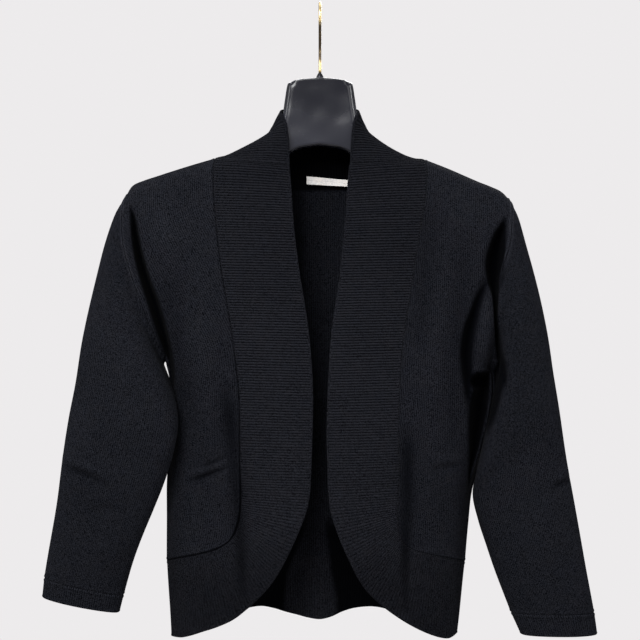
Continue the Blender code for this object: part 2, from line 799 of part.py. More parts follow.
def make_cloth(left, right):
    """All the pieces of cloth, still as middle surfaces, with their seams matched."""
    sides = [np.vstack([half.armhole_back, half.side[1:]]) for half in (left, right)]
    middle = spaced(metres(BACK_MIDDLE, 1), (run_shares(sides[0]) + run_shares(sides[1])) / 2)
    forward, backward = np.array([0, -1, 0]), np.array([0, 1, 0])
    back = mirrored(left.back_grid(middle), right.back_grid(middle))
    cloths = {"back": Cloth("back", back, backward)}
    for half in (left, right):
        band = half.band_grid()
        outwards = np.stack([0 * band[..., 0], np.sign(band[..., 1]), 0 * band[..., 0]], axis=-1)
        cloths["shawl_" + half.name] = Cloth("shawl_" + half.name, band, outwards)
        cloths["front_" + half.name] = Cloth("front_" + half.name, half.front_grid(), forward)
        rings = half.sleeve_rings()
        away = rings - rings.mean(axis=1, keepdims=True)
        sleeve = Cloth("sleeve_" + half.name, rings[:-1], away[:-1], closed=True)
        cuff = Cloth("cuff_" + half.name, rings[-2:], away[-2:], closed=True)
        cloths[sleeve.name], cloths[cuff.name] = sleeve, cuff
    seam, edge = (
        np.vstack([one[::-1], other[1:]])
        for one, other in zip(left.hem_lines(), right.hem_lines())
    )
    rows = [across_band(s, (s + e) / 2 + (0, HEM_BAND_ROLL, 0), e, BAND_SHARES) for s, e in zip(seam, edge)]
    rows[0], rows[-1] = left.band_grid()[-1], right.band_grid()[-1]
    cloths["hem_back"] = Cloth("hem_back", np.array(rows), backward)
    sew(list(cloths.values()))
    return cloths


def main():
    for item in list(bpy.data.objects):
        bpy.data.objects.remove(item)
    bpy.context.scene.collection.children.link(bpy.data.collections.new("cardigan"))

    knit_black = (0.012, 0.013, 0.016)
    finishes = {
        "back": material("back_knit", (0.010, 0.011, 0.014), 0.9),
        "front_left": material("front_left_knit", (0.013, 0.014, 0.018), 0.9),
        "front_right": material("front_right_knit", (0.014, 0.014, 0.018), 0.9),
        "shawl_left": material("shawl_left_rib", knit_black, 0.9),
        "shawl_right": material("shawl_right_rib", knit_black, 0.9),
        "hem_back": material("hem_back_rib", knit_black, 0.9),
        "sleeve_left": material("sleeve_left_knit", (0.011, 0.012, 0.016), 0.9),
        "sleeve_right": material("sleeve_right_knit", (0.011, 0.012, 0.016), 0.9),
        "cuff_left": material("cuff_left_knit", (0.010, 0.011, 0.014), 0.9),
        "cuff_right": material("cuff_right_knit", (0.010, 0.011, 0.014), 0.9),
    }
    left = Side(
        "left", -1, BAND_LEFT, SHOULDER_LEFT, ARMHOLE_LEFT, SIDE_LEFT, HEM_LEFT, SLEEVE_LEFT, FOLDS_LEFT
    )
    right = Side(
        "right", 1, BAND_RIGHT, SHOULDER_RIGHT, ARMHOLE_RIGHT, SIDE_RIGHT, HEM_RIGHT, SLEEVE_RIGHT, FOLDS_RIGHT
    )
    cloths = make_cloth(left, right)
    for name, cloth in cloths.items():
        ribbed = name.startswith(("shawl", "hem"))
        points, faces = ribbed_wall(cloth) if ribbed else plain_wall(cloth)
        add_solid(name, points, faces, finishes[name])
    make_label(
        cloths["shawl_left"],
        cloths["shawl_right"],
        material("label_weave", (0.8, 0.8, 0.8), 0.7),
    )
    make_hanger(left, right, material("hanger_plastic", (0.01, 0.01, 0.012), 0.15))
    make_nut(material("nut_metal", (0.03, 0.03, 0.03), 0.4, 0.6))
    make_hook(material("hook_brass", (0.55, 0.4, 0.18), 0.3, 1.0))


main()
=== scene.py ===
"""The looks of an open cardigan of fine black knit, hanging on a plastic hanger with a brass hook.

Each piece of cloth is a thin closed shell on the form of its solid: the same seams are lofted, read
at close spacing, and given the beads and grooves of linked seams, the creases of folded storage and
the ribs of the band. Metres, +Z up, the front faces -Y. Tables are in millimetres, x outwards.
"""

from __future__ import annotations
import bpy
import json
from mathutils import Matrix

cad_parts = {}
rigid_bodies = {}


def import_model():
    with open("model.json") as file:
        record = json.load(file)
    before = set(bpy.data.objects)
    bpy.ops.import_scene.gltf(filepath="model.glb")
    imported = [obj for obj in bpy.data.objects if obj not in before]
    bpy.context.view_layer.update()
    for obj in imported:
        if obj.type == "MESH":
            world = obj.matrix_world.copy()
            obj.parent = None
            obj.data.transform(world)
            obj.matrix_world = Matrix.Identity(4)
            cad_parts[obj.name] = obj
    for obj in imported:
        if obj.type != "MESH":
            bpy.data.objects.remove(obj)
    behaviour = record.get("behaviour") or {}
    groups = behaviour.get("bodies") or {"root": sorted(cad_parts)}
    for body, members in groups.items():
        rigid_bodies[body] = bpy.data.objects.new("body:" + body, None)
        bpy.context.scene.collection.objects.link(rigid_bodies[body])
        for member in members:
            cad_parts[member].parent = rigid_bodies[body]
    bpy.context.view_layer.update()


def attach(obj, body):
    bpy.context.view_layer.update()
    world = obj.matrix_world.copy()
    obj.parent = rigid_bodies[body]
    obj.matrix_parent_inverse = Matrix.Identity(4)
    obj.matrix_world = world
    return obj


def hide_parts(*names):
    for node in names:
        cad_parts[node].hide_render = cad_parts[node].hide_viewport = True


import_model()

import json
import logging
import math
from dataclasses import asdict, dataclass, field
from enum import Enum
from typing import Any, Sequence

import bmesh
import bpy
import numpy as np
from mathutils import Vector

log = logging.getLogger("cardigan")

MM = 0.001
BODY = "root"
TINY = 1e-12

# Sizes of the cloth and of its knit
WALL = 2.2 * MM
WALE_PITCH = 2.7 * MM
WALE_COURSE = 2.1 * MM
RIB_PITCH = 3.3 * MM
RIB_COURSE = 1.7 * MM
RIB_HEIGHT = 0.95 * MM
RIB_ROUNDNESS = 0.7
RIB_SAMPLES = 6
THREAD_PITCH = 0.8 * MM
SEAM_LAP = 0.12 * MM

# Cells and steps of the coarse grids, and the band's row at the corner of the front panel
SHOULDER_CELLS = 8
ARMHOLE_CELLS = 10
SIDE_CELLS = 10
BAND_CELLS = 8
BAND_STEPS = 2
HEM_STEPS = 4
CAP_RINGS = 5
CORNER_ROW = 9

# Steps for each pair of points where a line, or the line of a fold, is read finely
LINE_STEPS = 12
FOLD_STEPS = 6

# Folds fade in over this distance from the middle plane. A trough of the shade depth gets quite dark painted
# shade, and a ridge gets painted light by its share of the light depth, up to the limit
FOLD_FADE = 12 * MM
SHADE_DEPTH = 6 * MM
LIGHT_DEPTH = 14 * MM
LIGHT_LIMIT = 0.4

# How a panel rounds towards its side: the power by row, the power across, and how fast the depths of
# its top and its foot take over
ROUNDNESS = ((0, 5, 10), (0.9, 0.85, 0.5))
TURN_POWER = 2.5
TOP_POWER = 50
FOOT_POWER = 3

# Slow waves of hanging cloth: how far they go in depth and sideways
WAVE_DEPTH = 0.7 * MM
WAVE_SWAY = 0.35 * MM

# The power that squares the rings of a sleeve, from 1 for round down
RING_POWER = 0.85

# Painted shade of the band, strength of its ribs and painted highlight on the ridge of an armhole, by height
BAND_SHADE = ((-715, -640, -400, -240, -190), (0.34, 0, 0, 0.2, 0.38))
RIB_STRENGTH = ((-680, -430), (0.35, 1))
RIDGE_PAINTED_HIGHLIGHT = ((-390, -330, -250), (0, 0.8, 1))
RIDGE_HIGHLIGHT_GAIN = 1.3
RIDGE_PLACE = (1.9, 2.3)

# The painted shadow line along a linked seam: its strength, place and width, its share by height, the
# right half's own share by height, and its share by distance from the middle, below 0 on the cuffs,
# where it becomes a painted highlight
LINE_GAIN = 0.95
LINE_PLACE = (0, 1.6)
LINE_LOW = ((-600, -560), (1, 0.4))
LINE_HIGH = ((-470, -430), (1, 0.35))
LINE_RIGHT = ((-690, -670), (1, 0))
LINE_OUT = ((215, 235), (1, -0.3))

# Where the ribs begin, from the band's seam and from its free edge, and the width of their rise
RIB_FROM_SEAM = 0.8
RIB_FROM_EDGE = 1.6
RIB_RISE = 2.5

# Painted shadow on the inside of the garment: in the tubes, and on the back by height, beside what shows
# of it between the fronts, and left of the middle near the neck. Low on the back it drops below 0, to
# painted light. It fades in behind the middle plane
TUBE_PAINTED_SHADOW = 0.8
BACK_PAINTED_SHADOW = ((-700, -450, -300, -232, -228), (-1.1, -0.2, 0.1, 0.25, 1))
SEEN_LEFT = ((-760, -720, -656, -640), (-42, -38, -14, -5))
SEEN_RIGHT = ((-750, -709, -640), (17, 9, 2))
SEEN_SHARE = ((-660, -620), (1, 0))
SEEN_SOFTNESS = 14
BESIDE_PAINTED_SHADOW = 0.97
NECK_EDGE = -17
NECK_SOFTNESS = 6
NECK_SHARE = ((-420, -340), (0, 1))
NECK_PAINTED_SHADOW = 0.6
PAINTED_SHADOW_DEPTH = 8

Row = tuple[float, ...]
Array = np.ndarray
Table = tuple[Row, Row]


class Side(Enum):
    """The half of the cardigan, as the viewer sees it."""

    LEFT = -1
    RIGHT = 1

    @property
    def word(self) -> str:
        """The half's name in lower case."""
        return self.name.lower()


# The collar from the centre back to the neck end of the shoulder seam: seam, middle and free edge
COLLAR: dict[Side, tuple[Any, ...]] = {
    Side.LEFT: (
        ((0, 31, -230), (0, 33, -181), (0, 30, -132)),
        ((40, 30, -227), (35, 32, -178), (28, 26, -131)),
        ((76, 27, -217), (62, 16, -166), (48, 0, -131.5)),
        ((98, 21, -202), (69, 5, -165), (41.5, -17, -152)),
        ((117, 11, -191.5), (84, -8, -177), (38.5, -24, -176)),
        ((130, 0, -192.6), (87, -23.5, -197), (37.5, -28, -200)),
    ),
    Side.RIGHT: (
        ((0, 31, -230), (0, 33, -181), (0, 30, -132)),
        ((40, 30, -227), (35, 32, -178), (28, 26, -131)),
        ((76, 27, -217), (60, 16, -167), (47, 0, -131.5)),
        ((96, 21, -204), (66.5, 5, -165), (41.5, -17, -153)),
        ((115, 11, -195), (80, -8, -179), (38.5, -24, -177)),
        ((130, 0, -194.4), (84, -23.5, -198), (36.5, -28, -200)),
    ),
}

# The band down each front, round its corner and along the hem: seam, free edge and roll
BAND: dict[Side, tuple[Any, ...]] = {
    Side.LEFT: (
        ((132, -17, -205), (37, -30, -212), 6),
        ((131, -25.5, -238), (34.5, -33.5, -242), 5),
        ((127.5, -30, -273), (31.6, -37, -276), 4),
        ((120, -34, -339), (24.4, -40, -341), 4),
        ((107.6, -37, -409), (12.8, -43, -411), 4),
        ((98.9, -40, -492), (8.5, -45, -494), 4),
        ((97.6, -41, -571), (10.3, -46, -573), 4),
        ((97.5, -42, -620), (17, -46, -628), 4),
        ((101.8, -42, -646.5), (43.8, -46, -691), 4),
        ((110.9, -42, -663.5), (69.3, -46, -727), 4),
        ((129, -41, -674.5), (106, -43, -759.5), 3),
        ((153, -34, -681.5), (143.2, -36, -775.5), 2),
        ((175.5, -19, -688), (169.4, -20, -786), 1),
        ((190, 0, -694), (185, 0, -789), 0),
    ),
    Side.RIGHT: (
        ((132, -17, -205), (34.6, -30, -212), 6),
        ((131, -25.5, -238), (32.3, -33.5, -243), 5),
        ((125.5, -30, -273), (30.6, -37, -276), 4),
        ((114.5, -34, -339), (23.4, -40, -341), 4),
        ((103.9, -37, -409), (14, -43, -411), 4),
        ((96.4, -40, -492), (8.5, -45, -494), 4),
        ((97.2, -41, -571), (9.1, -46, -573), 4),
        ((95.1, -42, -620), (12.8, -46, -628), 4),
        ((95.3, -42, -648), (36.5, -46, -689), 4),
        ((101.2, -42, -666), (58.4, -46, -726), 4),
        ((117.1, -41, -676), (95, -43, -757), 3),
        ((140, -34, -682.5), (130.9, -36, -777.5), 2),
        ((163.5, -19, -689.5), (157.1, -20, -787), 1),
        ((180.5, 0, -695), (170, 0, -785), 0),
    ),
}

# The shoulder seam, from its neck end to the tip of the shoulder
SHOULDER: dict[Side, tuple[Row, ...]] = {
    Side.LEFT: ((130, 0, -192.6), (171, 0, -204.6), (209, 0, -217), (232, 0, -226), (241, 0, -240)),
    Side.RIGHT: ((130, 0, -194.4), (160, 0, -206), (196, 0, -221.6), (223, 0, -233.2), (235, 0, -245)),
}

# The front of the armhole, from the tip of the shoulder to the underarm
ARMHOLE: dict[Side, tuple[Row, ...]] = {
    Side.LEFT: (
        (241, 0, -240), (243.5, -19, -254), (242, -26, -298),
        (231, -29, -342), (210, -24, -400), (192.6, 0, -443),
    ),
    Side.RIGHT: (
        (235, 0, -245), (237, -19, -258), (234.5, -26, -300),
        (224, -27, -345), (221.5, -20, -404), (213, 2, -456),
    ),
}

# The side seam, from the underarm to the hem band
FLANK: dict[Side, tuple[Row, ...]] = {
    Side.LEFT: (
        (192.6, 0, -443), (190, 0, -452), (185, 0, -479),
        (183.8, 0, -532), (190, 0, -600), (190, 0, -694),
    ),
    Side.RIGHT: (
        (213, 2, -456), (219, 13, -466), (221, 24, -493),
        (209, 26, -550), (189, 14, -612), (180.5, 0, -695),
    ),
}

# The middle of the back, from the neck seam to the hem band's seam
BACK_MIDDLE = ((0, 31, -230), (0, 36, -330), (0, 37, -450), (0, 33, -580), (0, 30, -694))

# The back hem band from the centre to each side seam: seam and free edge
HEM: dict[Side, tuple[Any, ...]] = {
    Side.LEFT: (
        ((0, 30, -694), (0, 29, -774)),
        ((38, 40, -694), (37, 45, -770)),
        ((85, 43, -694), (82, 50, -762)),
        ((142, 32, -694), (138, 35, -780)),
        ((190, 0, -694), (185, 0, -789)),
    ),
    Side.RIGHT: (
        ((0, 30, -694), (0, 29, -774)),
        ((38, 40, -694), (38, 47, -765)),
        ((82, 43, -694), (79, 50, -764)),
        ((136, 32, -694), (130, 34, -781)),
        ((180.5, 0, -695), (170, 0, -785)),
    ),
}

# The sleeve rings: outer edge, inner edge and half depth. The last two are the cuff
SLEEVE: dict[Side, tuple[Any, ...]] = {
    Side.LEFT: (
        ((253, 0, -259), (195.5, 0, -451), 29),
        ((265.5, 0, -295), (190.5, -4, -463), 30),
        ((276, -2, -334), (183.5, -15, -479), 30),
        ((285.5, -6, -374), (177, -32, -500), 28),
        ((294, -10, -419), (174, -41, -524), 27),
        ((301.5, -13, -468), (179, -41, -554), 26),
        ((310, -14, -513), (191, -33, -590), 25),
        ((317.5, -14, -565), (206, -24, -626), 24),
        ((325, -12, -617), (219, -18, -657), 23),
        ((334, -10, -670), (232, -13, -692), 22),
        ((341.5, -9, -714), (245, -10, -735), 20),
        ((344.5, -8, -738), (251, -8, -757), 19),
    ),
    Side.RIGHT: (
        ((245, 0, -264), (216, 0, -459), 29),
        ((255.5, 0, -299), (217.5, -2, -482), 30),
        ((265.5, 0, -335), (214, -6, -503), 30),
        ((275, -1, -374), (209, -9, -525), 29),
        ((284.5, -2, -419), (202.5, -11, -553), 28),
        ((291, -3, -466), (195.5, -11, -583), 27),
        ((299, -3, -518), (191, -6, -612), 26),
        ((307, -5, -571), (197.5, -8, -643), 25),
        ((316, -7, -627), (208, -9, -674), 24),
        ((327, -8, -686), (220.5, -9, -710), 22),
        ((339.5, -8, -757), (238, -8, -757), 20),
        ((343.5, -8, -784), (250.5, -8, -784), 19),
    ),
}


@dataclass(frozen=True)
class Fold:
    """A trough in the cloth along rows of x, z, depth and half width, or a ridge where depth is below 0.

    edge is how hard its lips are, and outer how much narrower it is on the arm's side.
    """

    rows: tuple[Row, ...]
    behind: bool = False
    edge: float = 2.0
    outer: float = 1.0


# The large folds: the valley between body and arm, the branch and the pocket under the right arm,
# and the soft dips beside the band
FOLDS: dict[Side, tuple[Fold, ...]] = {
    Side.LEFT: (
        Fold((
            (235, -254, 0, 3), (231.5, -268, 10, 4.5), (228.4, -292, 20, 6), (223.8, -318, 26, 6.6),
            (216.4, -346, 28, 7.2), (207.6, -372, 28, 8), (199.4, -398, 26, 8), (191.6, -426, 22, 7.2),
            (186, -450, 14, 6.4), (183, -474, 4, 5),
        ), edge=3.4, outer=0.6),
        Fold((
            (119, -465, 0, 12), (111, -510, 4, 11), (104, -570, 3, 11),
            (97, -640, 3.5, 9), (94, -700, 4, 9), (93, -765, 1, 8),
        )),
        Fold(((190, -300, 0, 14), (186, -350, 0.8, 14), (176, -420, 1.6, 13), (168, -520, 1.0, 12))),
        Fold(((196, -236, 0, 13), (190, -280, -3.4, 15), (184, -330, -1.6, 13), (180, -370, 0, 12))),
        Fold(((121, -540, 0, 10), (118, -580, -1.6, 10), (116, -620, 0, 10))),
        Fold(((150, -300, 0, 12), (148, -380, -1.4, 12), (140, -470, -1.6, 12), (142, -560, 0, 12))),
    ),
    Side.RIGHT: (
        Fold((
            (229, -267, 0, 3), (226.5, -277, 8, 4.5), (221, -294, 22, 7.5), (216, -322, 28, 10.5),
            (215, -345, 28, 8.5), (216, -362, 24, 5), (216.5, -378, 20, 3.6), (218, -398, 19, 3.3),
            (221.5, -428, 19, 3.3), (225.5, -453, 17, 3.6), (226, -472, 6, 4),
        ), edge=3.2),
        Fold((
            (207, -336, 0, 6), (202, -352, 5, 6), (196, -367, 9, 6.5), (190.5, -386, 12, 7),
            (184.5, -408, 15, 8), (181, -436, 17, 8), (182, -465, 14, 7), (183, -490, 6, 6),
            (184, -520, 0, 6),
        ), edge=2.2, outer=0.8),
        Fold((
            (207, -352, 0, 7), (204, -385, -4, 8), (205, -425, -5, 9), (208, -448, -4, 9), (208, -462, 0, 8),
        )),
        Fold((
            (219, -446, 0, 4), (220, -460, 16, 8), (216, -482, 15, 7), (211, -508, 12, 6), (204, -540, 0, 4),
        ), edge=3.0),
        Fold((
            (105, -520, 0, 10), (107, -560, 4, 10), (106, -620, 4, 10), (104, -680, 4.5, 9),
            (103, -745, 3, 9),
        )),
        Fold(((180, -260, 0, 14), (176, -340, 1.2, 14), (168, -430, 1.6, 13), (166, -540, 0.8, 12))),
        Fold(((141, -225, 0, 13), (135, -290, 1.7, 16), (127, -380, 1.3, 16), (124, -450, 0, 14))),
        Fold(((146, -290, 0, 12), (144, -380, -1.4, 12), (138, -480, -1.6, 12), (140, -580, 0, 12))),
    ),
}

# The pocket under the right arm, pressed into the front alone and deep enough to be filled with painted shade
POCKET = (
    Fold(((197, -471, 28, 11), (210, -471, 28, 12), (226, -471, 28, 12)), edge=5.0),
    Fold((
        (208, -482, 30, 17), (206, -500, 30, 19), (203, -530, 28, 17), (197, -562, 24, 11),
        (191, -592, 14, 7), (188, -612, 0, 5),
    ), edge=4.0),
)

# Small creases from lying folded: sharp ridges with a trough beside them
CREASES: dict[Side, tuple[Fold, ...]] = {
    Side.LEFT: (
        Fold(((168, -587, 0, 4), (150, -581, -2.6, 3.4), (128, -573, -2.4, 3.2), (108, -567, 0, 3))),
        Fold(((166, -594, 0, 4), (148, -588, 3.4, 3.8), (128, -580, 3.0, 3.6), (106, -573, 0, 4))),
        Fold(((152, -577, 0, 3), (136, -571, 2.6, 3.0), (118, -563.5, 2.0, 3.0), (108, -560, 0, 3))),
        Fold(((322, -563, 0, 4), (300, -569, -2.6, 4), (276, -578, -2.0, 4), (256, -590, 0, 4))),
        Fold(((320, -573, 0, 5), (298, -579, 3.2, 4.4), (274, -588, 2.4, 4.4), (256, -598, 0, 5))),
        Fold(((290, -624, 0, 6), (262, -622, 1.4, 5), (226, -625, 0, 6))),
        Fold(((276, -580, 0, 5), (250, -600, -1.2, 5), (222, -610, 0, 6)), behind=True),
        Fold(((120, -560, 0, 5), (80, -571, -1.8, 4.5), (30, -566, 0, 5)), behind=True),
        Fold(((118, -570, 0, 6), (78, -581, 2.4, 5.5), (28, -577, 0, 6)), behind=True),
        Fold(((60, -260, 0, 12), (74, -360, 3.2, 13), (70, -480, 3.8, 13), (56, -640, 2.4, 12)), behind=True),
        Fold((
            (150, -290, 0, 14), (140, -400, -3.0, 14), (146, -520, -2.4, 13), (150, -640, 0, 12),
        ), behind=True),
    ),
    Side.RIGHT: (
        Fold(((132, -578, 0, 5), (156, -574, 1.5, 5), (184, -572, 0, 5))),
        Fold(((132, -569, 0, 4), (156, -565, -1.2, 4), (184, -563, 0, 4))),
        Fold(((282, -601, 0, 3), (296, -596, 4.4, 3.4), (312, -590, 1.2, 3))),
        Fold(((283, -592, 0, 4), (297, -587, -1.5, 4), (314, -581, 0, 4))),
        Fold(((290, -560, 0, 6), (262, -571, 1.6, 5), (236, -590, 0, 6)), behind=True),
        Fold(((130, -574, 0, 5), (92, -562, -1.7, 4.5), (44, -568, 0, 5)), behind=True),
        Fold(((128, -584, 0, 6), (90, -573, 2.2, 5.5), (42, -578, 0, 6)), behind=True),
        Fold(((52, -280, 0, 12), (60, -380, 2.8, 13), (76, -500, 3.6, 13), (70, -650, 2.6, 12)), behind=True),
        Fold((
            (152, -300, 0, 14), (150, -410, -2.6, 14), (138, -530, -2.8, 13), (140, -640, 0, 12),
        ), behind=True),
    ),
}

# The hanger's sections: distance from the middle, top, foot and half depth
HANGER = (
    (0, -91.8, -176.5, 12), (24, -93.8, -180, 12), (36, -96.8, -185.5, 12), (40.5, -100, -188, 12),
    (43.5, -117, -190, 12), (46.5, -137, -192, 11.5), (51, -158, -194, 11), (62, -174, -201, 10),
    (86, -188.5, -212, 10), (116, -205, -226, 10),
)

# Its arms under the cloth: where their sections lie, how far below the shoulder seam, their height
# and their half depth
ARM_XS = (150, 185, 212, 226)
ARM_BELOW = 2
ARM_DROP = 38
ARM_HALF_DEPTH = 10

# How many times its neck and then its arms are read, and the section where the neck ends
NECK_READS = 71
ARM_READS = 44
NECK_END = 7

# Width of the bevel along its top and along its foot, by distance from the middle
TOP_BEVEL = ((32, 37, 60, 100, 150), (1.8, 9, 10, 12, 17))
FOOT_BEVEL = ((30, 60, 100, 150), (3, 5, 10, 16))

# The dome at the hook's foot: radius and height
FERRULE = ((4.6, -92.9), (4.7, -92.0), (4.6, -90.6), (3.9, -88.6), (3.0, -86.9), (2.3, -85.7), (1.9, -85.3))

# The wire: its stem by depth and height, the angles of its loop in degrees, and its rounded tip as
# distances in wire widths with the share of the radius at each
HOOK_STEM = ((0, -85.2), (0, -62), (-1.5, -53), (-8, -42))
HOOK_ARC = range(-30, 221, 20)
HOOK_STEPS = 8
HOOK_TIP = ((0.15, 0.93), (0.3, 0.7), (0.42, 0.35))


def metres(rows: Sequence[Row], side: float = 1.0) -> Array:
    """Table places as an array in metres, on the side whose sign is given."""
    return np.array(rows, float) * (side, 1, 1) * MM


def read_at(points: Array, at: Array) -> Array:
    """Reads a smooth line of points, or of rows of points, at places counted in its own steps.

    Args:
        points: The line, with its points along the first axis.
        at: The places, from 0 to one less than the number of points.

    Returns:
        The points there, on a curve through all the given ones.
    """
    at = np.asarray(at, float)
    between = (points[2:] - points[:-2]) / 2
    slopes = np.concatenate([points[1:2] - points[:1], between, points[-1:] - points[-2:-1]])
    low = np.clip(np.floor(at).astype(int), 0, len(points) - 2)
    t = (at - low).reshape((-1,) + (1,) * (points.ndim - 1))
    return (
        (2 * t**3 - 3 * t**2 + 1) * points[low]
        + (t**3 - 2 * t**2 + t) * slopes[low]
        + (3 * t**2 - 2 * t**3) * points[low + 1]
        + (t**3 - t**2) * slopes[low + 1]
    )


def refine(points: Array, steps: int) -> Array:
    """The smooth line through the points with this many steps between each pair."""
    return read_at(points, np.arange((len(points) - 1) * steps + 1) / steps)


def runs(line: Array) -> Array:
    """How far along the line each of its points lies, in metres."""
    return np.concatenate([[0], np.cumsum(np.linalg.norm(np.diff(line, axis=0), axis=1))])


def shares(line: Array) -> Array:
    """How far along the line each of its points lies, from 0 to 1."""
    run = runs(line)
    return run / run[-1]


def spaced(points: Array, where: Array) -> Array:
    """The smooth line through the points, read at shares of its length.

    Args:
        points: The points.
        where: The shares, from 0 to 1.

    Returns:
        The places there.
    """
    line = refine(points, LINE_STEPS)
    run = shares(line)
    return np.stack([np.interp(where, run, line[:, axis]) for axis in range(3)], axis=1)


def folded(points: Array, folds: Sequence[Fold], side: float) -> tuple[Array, Array]:
    """Presses folds into the cloth, square to the front or the back.

    Args:
        points: Places in metres, in rows and columns.
        folds: The troughs and ridges, in millimetres with x outwards.
        side: The sign of the half they lie on.

    Returns:
        The moved points, and the painted shade of each by how deep it lies in a trough, up to 1, or below 0
        for painted light on a ridge.
    """
    trough, ridge = np.zeros(points.shape[:2]), np.zeros(points.shape[:2])
    deep = np.zeros(points.shape[:2])
    for fold in folds:
        facing = 1.0 if fold.behind else -1.0
        reach = np.clip(facing * points[..., 1] / FOLD_FADE, 0, 1)
        push = fold_depth(points[..., [0, 2]], fold, side) * reach
        trough = np.where(np.abs(push) > np.abs(trough), np.maximum(push, 0) * -facing, trough)
        ridge = ridge + np.minimum(push, 0) * -facing
        # Painted shade that grows with a trough's depth; ridges take painted light off it at the end
        deep = np.maximum(deep, push / SHADE_DEPTH)
    moved = points.copy()
    moved[..., 1] += trough + ridge
    return moved, np.clip(deep, 0, 1) - np.minimum(np.abs(ridge) / LIGHT_DEPTH, LIGHT_LIMIT)


def fold_depth(place: Array, fold: Fold, side: float) -> Array:
    """How deep one fold is at each place, from the nearest point of its line.

    Args:
        place: x and z of each place, in metres.
        fold: The trough or ridge, in millimetres with x outwards.
        side: The sign of the half that it lies on.

    Returns:
        The depth in metres.
    """
    line = refine(np.array(fold.rows, float) * (side, 1, 1, 1) * MM, FOLD_STEPS)
    nearest = np.full(place.shape[:-1], np.inf)
    depth, width = 0 * place[..., 0], 0 * place[..., 0] + MM
    for start, end in zip(line[:-1], line[1:]):
        run = end[:2] - start[:2]
        along = np.clip((place - start[:2]) @ run / (run @ run), 0, 1)
        offset = place - start[:2] - along[..., None] * run
        away = np.linalg.norm(offset, axis=-1)
        closer = away < nearest
        nearest = np.where(closer, away, nearest)
        depth = np.where(closer, start[2] + along * (end[2] - start[2]), depth)
        narrow = np.where(offset[..., 0] * side > 0, fold.outer, 1.0)
        width = np.where(closer, (start[3] + along * (end[3] - start[3])) * narrow, width)
    return depth * np.exp(-((nearest / width) ** fold.edge))


def by_height(points: Array, table: Table) -> Array:
    """Reads a table of heights and values at the height of each point, in millimetres."""
    return np.interp(points[..., 2] / MM, *table)


def panel(inner: Array, outer: Array, top: Array, bottom: Array) -> Array:
    """A four-sided panel blended from its seams, with a depth that rounds at the side.

    Args:
        inner: The seam towards the middle, from the top down.
        outer: The seams of the armhole and the side, from the top down.
        top: The seam at the top, outwards.
        bottom: The seam at the bottom, outwards.

    Returns:
        The panel's grid, with its rows from the top down and its columns outwards.
    """
    roundness = np.interp(np.arange(len(inner)), *ROUNDNESS)
    down = ((shares(inner) + shares(outer)) / 2)[:, None, None]
    across = np.linspace(0, 1, len(top))[None, :, None]
    sides = inner[:, None] * (1 - across) + outer[:, None] * across
    ends = top[None] * (1 - down) + bottom[None] * down
    upper = inner[0] * (1 - across) + outer[0] * across
    lower = inner[-1] * (1 - across) + outer[-1] * across
    grid = sides + ends - upper * (1 - down) - lower * down
    share = (1 - across[0, :, 0][None] ** TURN_POWER) ** roundness[:, None]
    depth = outer[:, 1:2] + (inner[:, 1:2] - outer[:, 1:2]) * share
    from_top = (1 - down[:, :, 0]) ** TOP_POWER * (top[:, 1] - depth[0])[None]
    from_bottom = down[:, :, 0] ** FOOT_POWER * (bottom[:, 1] - depth[-1])[None]
    grid[..., 1] = depth + from_top + from_bottom
    grid[0], grid[-1], grid[:, 0], grid[:, -1] = top, bottom, inner, outer
    return grid


def rolled(seam: Array, middle: Array, edge: Array, where: Array) -> Array:
    """A band that rolls from its seam over its middle to its free edge.

    Args:
        seam: The points of its seam.
        middle: The points of its middle line.
        edge: The points of its free edge.
        where: The shares of its width to work out.

    Returns:
        Its grid, with rows along it and columns across it.
    """
    u = where[None, :, None]
    seam, middle, edge = seam[:, None], middle[:, None], edge[:, None]
    return (1 - u) * (1 - 2 * u) * seam + 4 * u * (1 - u) * middle + u * (2 * u - 1) * edge


def ring(outer: Array, inner: Array, half_depth: float, turn: Array) -> Array:
    """A flattened ring between two edge points, front half first.

    Args:
        outer: The edge point away from the body.
        inner: The edge point towards the body.
        half_depth: Half of the ring's depth, in metres.
        turn: The angle of each point, from the outer edge round the front.

    Returns:
        The points of the ring.
    """
    centre, reach = (outer + inner) / 2, (outer - inner) / 2
    wide = np.sign(np.cos(turn)) * np.abs(np.cos(turn)) ** RING_POWER
    deep = np.sign(np.sin(turn)) * np.abs(np.sin(turn)) ** RING_POWER
    points = centre + reach * wide[:, None]
    points[:, 1] -= half_depth * deep
    return points


def bump(distance: Array, at: float, width: float) -> Array:
    """A bell-shaped share of height at a distance from a seam, both in millimetres."""
    return np.exp(-(((distance / MM) - at) / width) ** 2)


@dataclass(frozen=True)
class Bead:
    """A raised bead beside a seam, and the groove on the seam itself, in millimetres."""

    height: float
    at: float
    width: float
    groove: float
    groove_width: float

    def lift(self, distance: Array) -> Array:
        """The height of the face over the cloth's own, at distances from the seam."""
        raised = self.height * bump(distance, self.at, self.width)
        return MM * (raised - self.groove * bump(distance, 0, self.groove_width))


class Seam(Enum):
    """What a border of a piece of cloth is, and how it beads, sinks or thins there."""

    LINKED = Bead(0.55, 2.4, 1.2, 0.6, 0.9)
    RIDGE = Bead(1.25, 2.0, 1.7, 0.7, 0.8)
    FREE = Bead(0.35, 1.6, 1.0, 0.75, 0.7)
    SMOOTH = Bead(0.0, 0.0, 1.0, 0.0, 1.0)


